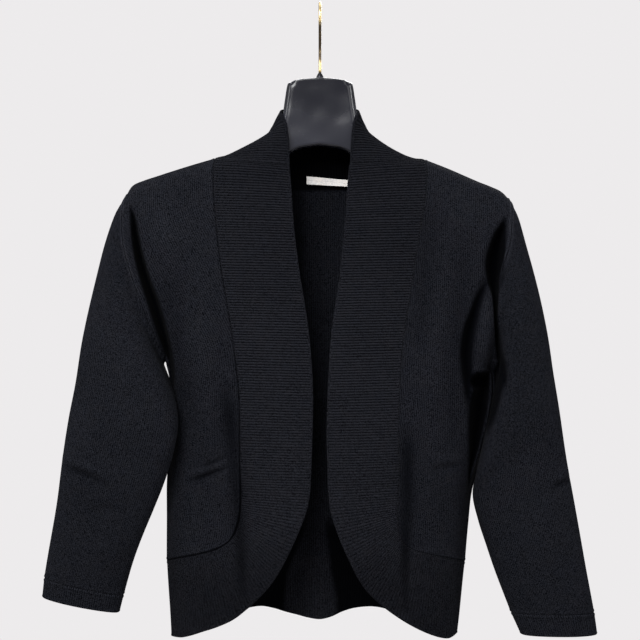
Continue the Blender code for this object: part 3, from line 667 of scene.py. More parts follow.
def undulation(points: Array) -> Array:
    """Slow unevenness of hanging cloth: the same shift for every piece that passes a place.

    Args:
        points: Places in metres.

    Returns:
        The shift of each, made of four waves in depth and one sideways.
    """
    x, y, z = np.moveaxis(points, -1, 0)
    waves = (
        0.9 * np.sin(34 * x + 7 * z + 1.3) * np.sin(11 * z + 0.4)
        + 0.7 * np.sin(52 * x - 9 * z + 2.1 + 20 * y)
        + 0.5 * np.sin(83 * x + 12 * z + 0.7)
        + 0.3 * np.sin(60 * x - 48 * z)
    )
    shift = np.zeros_like(points)
    shift[..., 1] = WAVE_DEPTH * waves
    shift[..., 0] = WAVE_SWAY * np.sin(47 * z + 25 * y)
    return shift


def gloom(points: Array) -> Array:
    """The painted shadow on the inner face of the back and the collar.

    Args:
        points: Places in metres.

    Returns:
        The painted shade of each, up to 1. Below 0, the place is painted lighter than open cloth.
    """
    x, y = points[..., 0] / MM, points[..., 1] / MM
    down = by_height(points, BACK_PAINTED_SHADOW)
    past = np.maximum(by_height(points, SEEN_LEFT) - x, x - by_height(points, SEEN_RIGHT))
    beside = np.clip(past / SEEN_SOFTNESS + 0.5, 0, 1) * by_height(points, SEEN_SHARE)
    neck = np.clip((NECK_EDGE - x) / NECK_SOFTNESS, 0, 1) * by_height(points, NECK_SHARE) * NECK_PAINTED_SHADOW
    shadow = np.maximum(np.maximum(down, neck), down * (1 - beside) + BESIDE_PAINTED_SHADOW * beside)
    return shadow * np.clip(y / PAINTED_SHADOW_DEPTH, 0, 1)


class Graph:
    """A node tree with one method that adds any node, and maths written as expressions."""

    def __init__(self, tree: bpy.types.NodeTree) -> None:
        self.tree = tree

    def node(self, kind: str, settings: dict[str, Any] | None = None, **inputs: Any) -> Any:
        """Adds a node.

        Args:
            kind: The node's type.
            settings: Its properties, which are set first.
            inputs: Values or links for its sockets, with underscores for spaces, or i0, i1 by order.

        Returns:
            The node.
        """
        made = self.tree.nodes.new(kind)
        for name, value in (settings or {}).items():
            setattr(made, name, value)
        for name, value in inputs.items():
            by_order = name[0] == "i" and name[1:].isdigit()
            socket = made.inputs[int(name[1:])] if by_order else made.inputs[name.replace("_", " ")]
            self.feed(socket, value)
        return made

    def feed(self, socket: Any, value: Any) -> None:
        """Links a socket or sets its value.

        Args:
            socket: The socket.
            value: A Value or a socket to link, a plain value, or None to leave it as it is.
        """
        if isinstance(value, Value):
            self.tree.links.new(value.socket, socket)
        elif isinstance(value, bpy.types.NodeSocket):
            self.tree.links.new(value, socket)
        elif value is not None:
            socket.default_value = value

    def value(self, socket: Any) -> Value:
        """Wraps a socket for use in expressions."""
        return Value(self, socket)

    def math(self, operation: str, *values: Any) -> Value:
        """The result of a Math node."""
        inputs = {f"i{i}": value for i, value in enumerate(values)}
        return Value(self, self.node("ShaderNodeMath", {"operation": operation}, **inputs).outputs[0])

    def mix(self, factor: Any, first: Any, second: Any) -> Any:
        """A mix of two colours, as a socket."""
        made = self.node("ShaderNodeMix", {"data_type": "RGBA"}, i0=factor, i6=first, i7=second)
        return made.outputs[2]


class Value:
    """A socket on which the usual operators add Math nodes."""

    def __init__(self, graph: Graph, socket: Any) -> None:
        self.graph = graph
        self.socket = socket

    def __add__(self, other: Any) -> Value:
        """The sum."""
        return self.graph.math("ADD", self, other)

    def __sub__(self, other: Any) -> Value:
        """The difference."""
        return self.graph.math("SUBTRACT", self, other)

    def __rsub__(self, other: Any) -> Value:
        """The difference, with this value taken away."""
        return self.graph.math("SUBTRACT", other, self)

    def __mul__(self, other: Any) -> Value:
        """The product."""
        return self.graph.math("MULTIPLY", self, other)

    def __truediv__(self, other: Any) -> Value:
        """The quotient."""
        return self.graph.math("DIVIDE", self, other)

    def __pow__(self, other: Any) -> Value:
        """The power."""
        return self.graph.math("POWER", self, other)

    def __abs__(self) -> Value:
        """The size without its sign."""
        return self.graph.math("ABSOLUTE", self)

    def sine(self) -> Value:
        """The sine."""
        return self.graph.math("SINE", self)

    def fraction(self) -> Value:
        """The part after the point."""
        return self.graph.math("FRACT", self)

    def clamped(self) -> Value:
        """The value kept between 0 and 1."""
        return self.graph.math("MINIMUM", self.graph.math("MAXIMUM", self, 0.0), 1.0)


class Surface(Graph):
    """The node tree of a new material, with its main shader at hand."""

    def __init__(self, name: str) -> None:
        self.made = bpy.data.materials.new(name)
        self.made.use_nodes = True
        super().__init__(self.made.node_tree)
        self.shader = self.made.node_tree.nodes["Principled BSDF"]

    def place(self) -> Any:
        """The place of each point on its object, in metres, as a socket."""
        return self.node("ShaderNodeTexCoord").outputs["Object"]

    def height(self, place: Any) -> Value:
        """The height of each place."""
        return self.value(self.node("ShaderNodeSeparateXYZ", Vector=place).outputs[2])

    def attribute(self, name: str) -> Value:
        """The numbers that the mesh carries under a name."""
        return self.value(self.node("ShaderNodeAttribute", {"attribute_name": name}).outputs["Fac"])

    def noise(self, place: Any, scale: float, detail: float, roughness: float | None = None) -> Value:
        """A soft random pattern, from 0 to 1 and mostly near the middle.

        Args:
            place: The places to read it at.
            scale: How many of its patches there are to a metre.
            detail: How many finer patterns are added to it.
            roughness: How strong the finer ones are, if not as usual.

        Returns:
            The pattern.
        """
        made = self.node(
            "ShaderNodeTexNoise", Vector=place, Scale=scale, Detail=detail, Roughness=roughness
        )
        return self.value(made.outputs[0])

    def dress(self, inputs: dict[str, Any]) -> bpy.types.Material:
        """Feeds the shader's inputs.

        Args:
            inputs: A value or a link for each input's name.

        Returns:
            The material.
        """
        for name, value in inputs.items():
            self.feed(self.shader.inputs[name], value)
        return self.made


Colour = tuple[float, float, float]


class Texture(Enum):
    """The structure of a cloth: wales along the piece, ribs across the band, or a woven tape."""

    JERSEY = "jersey"
    RIB = "rib"
    TAPE = "tape"


@dataclass(frozen=True)
class KnitFinish:
    """A knitted or woven cloth whose structure follows the piece's own map, counted in metres.

    The deep colour is painted shade between the stitches, and the crest colour their lighter tops. The last
    fields say how strongly fibres, patches and clouds show, how light open cloth is before painted shade,
    and how much of that the deepest painted shade takes.
    """

    name: str
    deep: Colour
    crest: Colour
    texture: Texture
    pitch: float
    course: float
    relief: float = 0.4 * MM
    roughness: float = 0.9
    gloss: float = 0.02
    fuzz: float = 0.006
    contrast: float = 0.8
    speckle: float = 3.6
    patches: float = 0.2
    clouds: float = 0.3
    open_light: float = 0.72
    shade_share: float = 0.7

    # The warm colour's share of each part, and scale, detail and roughness of the three patterns
    WARM = (1.15, 1.0, 0.85)
    FIBRE = (760.0, 2.0, 0.6)
    PATCH = (85.0, 4.0, 0.6)
    CLOUD = (13.0, 3.0, 0.55)

    def material(self) -> bpy.types.Material:
        """Builds the material.

        Returns:
            The material, with painted shade between the stitches and lighter on their crests.
        """
        surface = Surface(self.name)
        solid = surface.place()
        fibre = surface.noise(solid, *self.FIBRE)
        patch = surface.noise(solid, *self.PATCH)
        cloud = surface.noise(solid, *self.CLOUD)
        height, tone = self.structure(surface)
        speckle = (fibre - 0.5) * self.speckle + (patch - 0.5) * self.patches + (cloud - 0.5) * self.clouds
        # Painted shade and light from the mesh's shade marks, which scale the painted shade between the
        # stitches and the random grain
        light = self.open_light - surface.attribute("shade") * self.shade_share
        grain_and_painted_shade = ((tone - 0.5) * self.contrast + speckle + 0.5).clamped() * light
        warm = [part * share for part, share in zip(self.crest, self.WARM)]
        crest = surface.mix(patch, (*self.crest, 1), (*warm, 1))
        relief = surface.node(
            "ShaderNodeBump", Strength=0.8, Distance=self.relief, Height=height + fibre * 0.8
        )
        return surface.dress({
            "Base Color": surface.mix(grain_and_painted_shade, (*self.deep, 1), crest),
            "Roughness": (fibre * 0.12 + (self.roughness - 0.06)).clamped(),
            "Normal": relief.outputs[0],
            "Specular IOR Level": self.gloss,
            "Sheen Weight": self.fuzz,
            "Sheen Roughness": 0.45,
        })

    def structure(self, surface: Surface) -> tuple[Value, Value]:
        """The relief of the stitches and their tone, which paints shade between them.

        Args:
            surface: The material's tree.

        Returns:
            The height and the tone of each point, both from 0 to about 1.
        """
        place = surface.node("ShaderNodeUVMap", {"uv_map": "cloth"}).outputs[0]
        parts = surface.node("ShaderNodeSeparateXYZ", Vector=place).outputs
        across, along = surface.value(parts[0]), surface.value(parts[1])
        if self.texture is Texture.RIB:
            crest = abs((along * (math.pi / self.pitch)).sine()) ** 0.8
            loops = (across * (2 * math.pi / self.course)).sine() * 0.5 + 0.5
            tone = (crest - 0.62) * surface.attribute("fade") * 1.15 + loops * 0.2 + 0.48
            return crest * 0.6 + loops * crest * 0.4, tone
        wale = abs((across * (math.pi / self.pitch)).sine())
        if self.texture is Texture.JERSEY:
            lean = abs((across / self.pitch).fraction() - 0.5)
            course = (along * (2 * math.pi / self.course) + lean * (2 * math.pi)).sine() * 0.5 + 0.5
            return wale**0.6 * 0.65 + course * wale * 0.35, wale * 0.7 + course * 0.3
        weft = abs((along * (math.pi / self.course)).sine())
        height = wale * 0.5 + weft * 0.5
        return height, height


@dataclass(frozen=True)
class PlasticFinish:
    """Glossy moulded plastic with a faintly uneven surface and fine scuffs.

    A lighter painted reflection, in blotches, begins at a distance below the rail, in metres, and grows at
    its rate from there.
    """

    name: str = "hanger_black_gloss"
    colour: Colour = (0.006, 0.0065, 0.011)
    worn: Colour = (0.022, 0.023, 0.032)
    smear_from: float = 0.105
    smear_rate: float = 16.0
    unevenness: float = 4.4 * MM

    # Scale, detail and roughness of the two patterns
    SWELL = (19.0, 1.0)
    SCUFF = (260.0, 4.0, 0.6)

    def material(self) -> bpy.types.Material:
        """Builds the material.

        Returns:
            The material.
        """
        surface = Surface(self.name)
        place = surface.place()
        swell = surface.noise(place, *self.SWELL)
        marks = ((surface.noise(place, *self.SCUFF) - 0.6) * 5.0).clamped()
        # Painted reflection: a lighter colour, in blotches, that grows below the rail
        low = ((surface.height(place) * -1.0 - self.smear_from) * self.smear_rate).clamped()
        wave = surface.node("ShaderNodeBump", Strength=1.0, Distance=self.unevenness, Height=swell)
        return surface.dress({
            "Base Color": surface.mix(low * swell * 1.6, (*self.colour, 1), (*self.worn, 1)),
            "Roughness": (marks * 0.12 + swell * 0.16 + 0.14).clamped(),
            "Normal": wave.outputs[0],
            "Specular IOR Level": 0.5,
        })


@dataclass(frozen=True)
class MetalFinish:
    """Plated metal that is brighter near the ends of its height than between."""

    name: str
    bright: Colour
    dull: Colour
    roughness: float
    clean_above: float
    clean_below: float
    edge_rate: float = 160.0

    # Scale and detail of the stains
    STAIN = (120.0, 5.0)

    def material(self) -> bpy.types.Material:
        """Builds the material.

        Returns:
            The material.
        """
        surface = Surface(self.name)
        place = surface.place()
        height = surface.height(place)
        stain = surface.noise(place, *self.STAIN)
        low = ((height * -1.0 + self.clean_below) * self.edge_rate).clamped()
        high = ((height - self.clean_above) * self.edge_rate).clamped()
        clean = (low + high + (stain - 0.5) * 0.9).clamped()
        return surface.dress({
            "Base Color": surface.mix(clean, (*self.dull, 1), (*self.bright, 1)),
            "Roughness": (stain * 0.2 + self.roughness).clamped(),
            "Metallic": 1.0,
        })


@dataclass(frozen=True)
class PaleFinish:
    """A plain pale floor with the faintest mottling."""

    name: str = "floor_pale"
    dim: Colour = (0.62, 0.61, 0.615)
    bright: Colour = (0.66, 0.65, 0.655)
    roughness: float = 0.8

    def material(self) -> bpy.types.Material:
        """Builds the material.

        Returns:
            The material.
        """
        surface = Surface(self.name)
        colour = surface.mix(surface.noise(surface.place(), 3.0, 2.0), (*self.dim, 1), (*self.bright, 1))
        return surface.dress({"Base Color": colour, "Roughness": self.roughness})


def add_mesh(
    name: str,
    points: Array,
    faces: Sequence[Sequence[int]],
    maps: Array | None = None,
    marks: dict[str, Array] | None = None,
) -> bpy.types.Object:
    """A smooth-shaded mesh object at the origin.

    Args:
        name: The object's name.
        points: Its vertices.
        faces: Its faces, as vertex numbers.
        maps: A place on the cloth in metres for each vertex, kept as the map "cloth".
        marks: Numbers for each vertex, kept as named attributes.

    Returns:
        The object, linked to the scene.
    """
    mesh = bpy.data.meshes.new(name)
    mesh.from_pydata(points.tolist(), [], [list(map(int, face)) for face in faces])
    if maps is not None:
        layer = mesh.uv_layers.new(name="cloth")
        corners = np.empty(len(mesh.loops), int)
        mesh.loops.foreach_get("vertex_index", corners)
        layer.data.foreach_set("uv", maps[corners].astype(np.float32).ravel())
    for label, values in (marks or {}).items():
        kind, name_of = ("FLOAT_VECTOR", "vector") if values.ndim == 2 else ("FLOAT", "value")
        mesh.attributes.new(label, kind, "POINT").data.foreach_set(name_of, values.astype(np.float32).ravel())
    mesh.polygons.foreach_set("use_smooth", np.ones(len(mesh.polygons), bool))
    mesh.update()
    made = bpy.data.objects.new(name, mesh)
    bpy.context.scene.collection.objects.link(made)
    return made


def shell_faces(rows: int, columns: int, closed: bool = False) -> Array:
    """The faces of a closed wall over a grid: its front, its back and its rims.

    Args:
        rows: The number of the grid's rows.
        columns: The number of its columns.
        closed: Whether its last column joins its first.

    Returns:
        The vertex numbers of each face, where the back's vertices follow the front's.
    """
    index = np.arange(rows * columns).reshape(rows, columns)
    if closed:
        after = np.roll(index, -1, axis=1)
        quads = [index[:-1], after[:-1], after[1:], index[1:]]
        rims = [np.append(rim, rim[0]) for rim in (index[0], index[-1])]
    else:
        quads = [index[:-1, :-1], index[:-1, 1:], index[1:, 1:], index[1:, :-1]]
        rims = [index[0], index[-1], index[:, 0], index[:, -1]]
    front = np.stack([quad.ravel() for quad in quads], axis=1)
    offset = rows * columns
    faces = [front, front[:, ::-1] + offset]
    for rim in rims:
        faces.append(np.stack([rim[:-1], rim[1:], rim[1:] + offset, rim[:-1] + offset], axis=1))
    return np.concatenate(faces)


def tube_faces(rings: int, around: int) -> list[Sequence[int]]:
    """The faces of a tube through rings of points, with a cap at each end.

    Args:
        rings: The number of rings.
        around: The number of points in each.

    Returns:
        The faces, as vertex numbers.
    """
    faces: list[Sequence[int]] = []
    for i in range(rings - 1):
        for j in range(around):
            k = (j + 1) % around
            faces.append((i * around + j, i * around + k, (i + 1) * around + k, (i + 1) * around + j))
    faces.append(list(range(around)))
    faces.append(list(range((rings - 1) * around, rings * around)))
    return faces


def face_outwards(thing: bpy.types.Object) -> None:
    """Turns the faces of a closed mesh outwards.

    Args:
        thing: The object that has it.
    """
    work = bmesh.new()
    work.from_mesh(thing.data)
    bmesh.ops.recalc_face_normals(work, faces=work.faces)
    work.to_mesh(thing.data)
    work.free()


def plain_copy(thing: bpy.types.Object) -> bpy.types.Object:
    """Replaces an object's mesh by its evaluated one and removes its modifiers.

    Args:
        thing: The object.

    Returns:
        The same object.
    """
    evaluated = thing.evaluated_get(bpy.context.evaluated_depsgraph_get())
    mesh = bpy.data.meshes.new_from_object(evaluated)
    thing.modifiers.clear()
    thing.data = mesh
    return thing


@dataclass
class Cloth:
    """One piece of cloth: a coarse grid between its seams, read finely and given its two faces.

    The borders are named in the order first row, last row, first column, last column. cut is the flat
    width, length and area that the piece was cut to, in metres.
    """

    name: str
    node: str
    grid: Array
    outward: Array
    borders: tuple[Seam, Seam, Seam, Seam]
    cut: tuple[float, float, float]
    step: float = 2.6 * MM
    closed: bool = False
    side: float = 0.0
    creases: tuple[Fold, ...] = ()
    rib: bool = False
    from_centre: bool = False
    fine: Array = field(init=False)
    # Painted shade from the folds at each point, below 0 for painted light on ridges
    deep: Array = field(init=False)
    normals: Array = field(init=False)
    spans: list[Array] = field(init=False)

    # Distances from a border that are read, in millimetres, and where the even steps begin
    CLUSTER = (0.5, 1.0, 1.7, 2.6, 3.8)
    CLEAR = 5.2

    # Columns of a tube that are repeated on either side, so that it is read smoothly all round
    WRAP = 3

    def places(self, line: Array) -> Array:
        """Where to read one direction of the grid: even steps, with close ones at both borders.

        Args:
            line: The points of one row or one column.

        Returns:
            The places, counted in the line's own steps.
        """
        run = runs(line)
        if self.rib and len(line) == len(self.grid):
            steps = max(1, round(run[-1] / RIB_PITCH)) * RIB_SAMPLES
            where = np.linspace(0, run[-1], steps + 1)
        else:
            near = np.array(self.CLUSTER) * MM
            clear = self.CLEAR * MM
            middle = np.linspace(clear, run[-1] - clear, max(2, round(run[-1] / self.step)))
            where = np.concatenate([[0], near, middle, run[-1] - near[::-1], [run[-1]]])
        return np.interp(where, run, np.arange(len(run)))

    def loft(self) -> None:
        """Reads the fine grid and works out its directions and distances."""
        rows = self.places(self.grid[:, self.grid.shape[1] // 2])
        if self.closed:
            wrap = self.WRAP
            looped = np.concatenate([self.grid[:, -wrap:], self.grid, self.grid[:, :wrap]], axis=1)
            loop = np.concatenate([self.grid, self.grid[:, :1]], axis=1)[len(self.grid) // 2]
            run = runs(loop)
            even = np.linspace(0, run[-1], round(run[-1] / self.step), endpoint=False)
            columns = wrap + np.interp(even, run, np.arange(len(run)))
            fine = read_at(looped.swapaxes(0, 1), columns).swapaxes(0, 1)
        else:
            columns = self.places(self.grid[len(self.grid) // 2])
            fine = read_at(self.grid.swapaxes(0, 1), columns).swapaxes(0, 1)
        if self.from_centre:
            fine = np.concatenate([fine[1:2] * (-1, 1, 1), fine])
            rows = rows + 1
        self.fine = read_at(fine, rows)
        self.fine, self.deep = folded(self.fine, self.creases, self.side)
        self.fine = self.fine + undulation(self.fine)
        self.normals = self._directions(self.fine)
        self.spans = self._distances()
        self._lap()

    def _lap(self) -> None:
        """Takes each sewn border a hair past its seam, so that no light shows between neighbours."""
        every = slice(None)
        ends = (((0,), (1,)), ((-1,), (-2,)), ((every, 0), (every, 1)), ((every, -1), (every, -2)))
        for kind, (border, inside) in self.edges(ends):
            if kind is not Seam.FREE:
                out = self.fine[border] - self.fine[inside]
                out /= np.maximum(np.linalg.norm(out, axis=-1, keepdims=True), TINY)
                self.fine[border] += out * SEAM_LAP

    def _directions(self, grid: Array) -> Array:
        """Unit directions out of the garment.

        Args:
            grid: Places in rows and columns.

        Returns:
            The direction at each place.
        """
        down = np.gradient(grid, axis=0)
        if self.closed:
            across = np.roll(grid, -1, axis=1) - np.roll(grid, 1, axis=1)
        else:
            across = np.gradient(grid, axis=1)
        normals = np.cross(down, across)
        normals /= np.maximum(np.linalg.norm(normals, axis=2, keepdims=True), TINY)
        rows, columns = self.outward.shape[:2]
        near = self.outward[
            np.linspace(0, rows - 1, len(grid)).round().astype(int)[:, None],
            np.linspace(0, columns - 1, grid.shape[1]).round().astype(int)[None],
        ]
        return normals if (normals * near).sum() > 0 else -normals

    def _distances(self) -> list[Array]:
        """Distances of each point from the borders, in metres.

        Returns:
            Those from the first row, the last row, the first column and the last column.
        """
        down = np.linalg.norm(np.diff(self.fine, axis=0), axis=2)
        down = np.cumsum(np.concatenate([0 * self.fine[:1, :, 0], down]), axis=0)
        across = np.linalg.norm(np.diff(self.fine, axis=1), axis=2)
        across = np.cumsum(np.concatenate([0 * self.fine[:, :1, 0], across], axis=1), axis=1)
        return [down, down[-1:] - down, across, across[:, -1:] - across]

    def edges(self, values: Sequence[Any]) -> list[tuple[Seam, Any]]:
        """The kind of each border that the piece has, beside its own one of four values."""
        return list(zip(self.borders, values))[: 2 if self.closed else 4]

    def lifts(self) -> Array:
        """Height of the faces over the cloth's own, from the kinds of its borders."""
        return sum((kind.value.lift(away) for kind, away in self.edges(self.spans)), 0 * self.spans[0])

    def beside(self, kind: Seam, at: float, width: float) -> Array:
        """The bell-shaped shares along every border of one kind, added up.

        Args:
            kind: The kind of border.
            at: The distance of the bell's middle from the border, in millimetres.
            width: The bell's width, in millimetres.

        Returns:
            The share of each point.
        """
        bells = (bump(away, at, width) for edge, away in self.edges(self.spans) if edge is kind)
        return sum(bells, 0 * self.spans[0])

    def build(self) -> bpy.types.Object:
        """Builds the closed shell.

        Returns:
            Its object, with its map and its marks.
        """
        self.loft()
        half = WALL / 2 + self.lifts()
        outer = self.fine + self.normals * half[..., None]
        inner = self.fine - self.normals * WALL / 2
        points = np.concatenate([outer.reshape(-1, 3), inner.reshape(-1, 3)])
        faces = shell_faces(*self.fine.shape[:2], self.closed)
        made = add_mesh(self.name, points, faces, np.tile(self.map_places(), (2, 1)), self.marks())
        face_outwards(made)
        return made

    def marks(self) -> dict[str, Array]:
        """What each point carries: its painted shade and light and, on a band, what its ribs follow.

        Returns:
            The numbers under their names, first for the outer face and then for the inner one.
        """
        # Painted shadow on the inner face, and painted shade, shadow lines and highlights on the outer face
        inner_painted_shadow = 0 * self.deep + TUBE_PAINTED_SHADOW if self.closed else np.maximum(self.deep, gloom(self.fine))
        outer_painted_shade = self.deep + self.seam_shadow() - self.seam_light()
        if self.rib:
            outer_painted_shade = np.maximum(outer_painted_shade, by_height(self.fine, BAND_SHADE))
        marks = {"shade": np.concatenate([outer_painted_shade.ravel(), inner_painted_shadow.ravel()])}
        if self.rib:
            phase, fade = self.rib_marks()
            marks |= {"rib": np.tile(phase.ravel(), 2), "fade": np.tile(fade.ravel(), 2)}
            marks["out"] = np.concatenate([self.normals.reshape(-1, 3), -self.normals.reshape(-1, 3)])
        return marks

    def seam_light(self) -> Array:
        """The painted highlight on the ridge of an armhole seam, down to where the arm folds over it."""
        return RIDGE_HIGHLIGHT_GAIN * self.beside(Seam.RIDGE, *RIDGE_PLACE) * by_height(self.fine, RIDGE_PAINTED_HIGHLIGHT)

    def seam_shadow(self) -> Array:
        """The painted shadow line along a linked seam, where the band turns and along the hem, with a painted
        highlight on the cuffs.

        Returns:
            The painted shade that it adds at each point, below 0 for painted light.
        """
        x = self.fine[..., 0] / MM
        share = np.where(x < 0, 1, by_height(self.fine, LINE_RIGHT)) * np.interp(np.abs(x), *LINE_OUT)
        line = LINE_GAIN * self.beside(Seam.LINKED, *LINE_PLACE)
        return line * share * by_height(self.fine, LINE_LOW) * by_height(self.fine, LINE_HIGH)

    def map_places(self) -> Array:
        """Where each point lies on the flat cloth.

        Returns:
            How far across and how far along, in metres.
        """
        across = self.spans[2]
        if self.rib:
            phase, _ = self.rib_marks()
            return np.stack([across.ravel(), phase.ravel() * RIB_PITCH], axis=1)
        rows, columns = self.fine.shape[:2]
        if self.closed:
            wrap = across[rows // 2, -1] * columns / (columns - 1)
            share = np.linspace(0, 1, columns, endpoint=False)
            whole = np.tile(share * round(wrap / WALE_PITCH) * WALE_PITCH, (rows, 1))
            return np.stack([whole.ravel(), self.spans[0].ravel()], axis=1)
        middle = across[:, columns // 2][:, None]
        centred = across - middle + self.fine[:, columns // 2, 0][:, None]
        return np.stack([centred.ravel(), self.spans[0].ravel()], axis=1)

    def rib_marks(self) -> tuple[Array, Array]:
        """What a band's ribs follow.

        Returns:
            The count of ribs at each point, and the share of their height that it takes.
        """
        rows, columns = self.fine.shape[:2]
        phase = np.tile((np.arange(rows) / RIB_SAMPLES)[:, None], (1, columns))
        from_seam = np.clip((self.spans[2] / MM - RIB_FROM_SEAM) / RIB_RISE, 0, 1)
        from_edge = np.clip((self.spans[3] / MM - RIB_FROM_EDGE) / RIB_RISE, 0, 1)
        return phase, from_seam * from_edge * by_height(self.fine, RIB_STRENGTH)


class MeshTree(Graph):
    """A Geometry Nodes tree with named settings, the last of which is the material."""

    def __init__(self, name: str, settings: dict[str, str], finish: str) -> None:
        super().__init__(bpy.data.node_groups.new(name, "GeometryNodeTree"))
        face = self.tree.interface
        face.new_socket("Geometry", in_out="INPUT", socket_type="NodeSocketGeometry")
        self.ids: dict[str, str] = {}
        for key, label in settings.items():
            self.ids[key] = face.new_socket(label, in_out="INPUT", socket_type="NodeSocketFloat").identifier
        dress = face.new_socket(finish, in_out="INPUT", socket_type="NodeSocketMaterial")
        self.ids["finish"] = dress.identifier
        face.new_socket("Geometry", in_out="OUTPUT", socket_type="NodeSocketGeometry")
        self.entry = self.node("NodeGroupInput").outputs

    def way_out(self) -> Any:
        """The direction out of the cloth that each point carries."""
        settings = {"data_type": "FLOAT_VECTOR"}
        return self.node("GeometryNodeInputNamedAttribute", settings, Name="out").outputs[0]

    def end(self, geometry: Any) -> None:
        """Makes the geometry real, dresses it and hands it out of the tree.

        Args:
            geometry: The geometry, as a socket.
        """
        real = self.node("GeometryNodeRealizeInstances", Geometry=geometry).outputs[0]
        finish = self.entry[len(self.ids)]
        dressed = self.node("GeometryNodeSetMaterial", Geometry=real, Material=finish).outputs[0]
        self.node("NodeGroupOutput", Geometry=dressed)

    def run_on(self, thing: bpy.types.Object, values: dict[str, Any]) -> bpy.types.Object:
        """Runs the tree on an object and leaves it a plain mesh.

        Args:
            thing: The object.
            values: The value of each setting, by its key.

        Returns:
            The object.
        """
        modifier = thing.modifiers.new(self.tree.name, "NODES")
        modifier.node_group = self.tree
        for key, value in values.items():
            modifier[self.ids[key]] = value
        return plain_copy(thing)


class RibTree(MeshTree):
    """The tree that raises a band's ribs from its marks."""

    # The part of a rib's height that lies below the cloth's own face
    MIDDLE = 0.55

    def __init__(self) -> None:
        super().__init__("band_ribs", {"height": "Rib height", "power": "Rib roundness"}, "Knit")
        phase = self.value(self.node("GeometryNodeInputNamedAttribute", Name="rib").outputs[0])
        fade = self.value(self.node("GeometryNodeInputNamedAttribute", Name="fade").outputs[0])
        wave = abs((phase * math.pi).sine()) ** self.value(self.entry[2])
        size = (wave - self.MIDDLE) * fade * self.value(self.entry[1])
        scale = {"operation": "SCALE"}
        push = self.node("ShaderNodeVectorMath", scale, i0=self.way_out(), Scale=size).outputs[0]
        self.end(self.node("GeometryNodeSetPosition", Geometry=self.entry[0], Offset=push).outputs[0])

    def raise_on(self, thing: bpy.types.Object, finish: bpy.types.Material) -> None:
        """Raises the ribs on a band and leaves it a plain mesh."""
        self.run_on(thing, {"height": RIB_HEIGHT, "power": RIB_ROUNDNESS, "finish": finish})


@dataclass(frozen=True)
class Stitch:
    """The sizes of one kind of stitch, in metres, and how far it turns from its line, in radians."""

    pitch: float = 3.0 * MM
    length: float = 2.3 * MM
    width: float = 0.9 * MM
    lean: float = 0.5


class StitchTree(MeshTree):
    """The tree that sets small stitches along a line of points."""

    # A stitch's depth as a share of its width
    FLATNESS = 0.8

    def __init__(self) -> None:
        names = {"pitch": "Stitch pitch", "length": "Stitch length", "width": "Stitch width", "lean": "Lean"}
        super().__init__("seam_stitches", names, "Thread")
        mesh, pitch, length, width, lean = (self.entry[i] for i in range(len(names) + 1))
        line = self.node("GeometryNodeMeshToCurve", Mesh=mesh).outputs[0]
        even = self.node("GeometryNodeResampleCurve", {"mode": "LENGTH"}, Curve=line, Length=pitch).outputs[0]
        tangent = self.node("GeometryNodeInputTangent").outputs[0]
        align = "FunctionNodeAlignRotationToVector"
        first = self.node(align, {"axis": "X"}, Vector=tangent).outputs[0]
        upright = {"axis": "Z", "pivot_axis": "X"}
        second = self.node(align, upright, Rotation=first, Vector=self.way_out()).outputs[0]
        turn = self.node("ShaderNodeCombineXYZ", Z=lean).outputs[0]
        leaned = self.node(
            "FunctionNodeRotateRotation", {"rotation_space": "LOCAL"}, Rotation=second, Rotate_By=turn
        ).outputs[0]
        bead = self.node("GeometryNodeMeshUVSphere", Segments=8, Rings=5, Radius=0.5).outputs[0]
        depth = self.value(width) * self.FLATNESS
        size = self.node("ShaderNodeCombineXYZ", X=length, Y=width, Z=depth).outputs[0]
        shaped = self.node("GeometryNodeTransform", Geometry=bead, Scale=size).outputs[0]
        smooth = self.node("GeometryNodeSetShadeSmooth", Geometry=shaped).outputs[0]
        self.end(self.node(
            "GeometryNodeInstanceOnPoints", Points=even, Instance=smooth, Rotation=leaned
        ).outputs[0])

    def along(
        self, name: str, line: Array, out: Array, finish: bpy.types.Material, stitch: Stitch
    ) -> bpy.types.Object:
        """Sets stitches along a line.

        Args:
            name: The new object's name.
            line: The points of the seam, on the face of the cloth.
            out: The direction out of the cloth at each.
            finish: The thread's material.
            stitch: The sizes of the stitches.

        Returns:
            The stitches as one plain mesh.
        """
        mesh = bpy.data.meshes.new(name)
        mesh.from_pydata(line.tolist(), [(i, i + 1) for i in range(len(line) - 1)], [])
        carried = mesh.attributes.new("out", "FLOAT_VECTOR", "POINT")
        carried.data.foreach_set("vector", out.astype(np.float32).ravel())
        made = bpy.data.objects.new(name, mesh)
        bpy.context.scene.collection.objects.link(made)
        return self.run_on(made, {**asdict(stitch), "finish": finish})


def hand_over(thing: bpy.types.Object, slot: str, *nodes: str) -> None:
    """Gives a finished piece its body and hides the nodes that it stands for.

    Args:
        thing: The piece.
        slot: The slot of its material; not used.
        nodes: The nodes that it replaces, if any.
    """
    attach(thing, BODY)
    if nodes:
        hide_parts(*nodes)
    log.info("%s: %d faces", thing.name, len(thing.data.polygons))


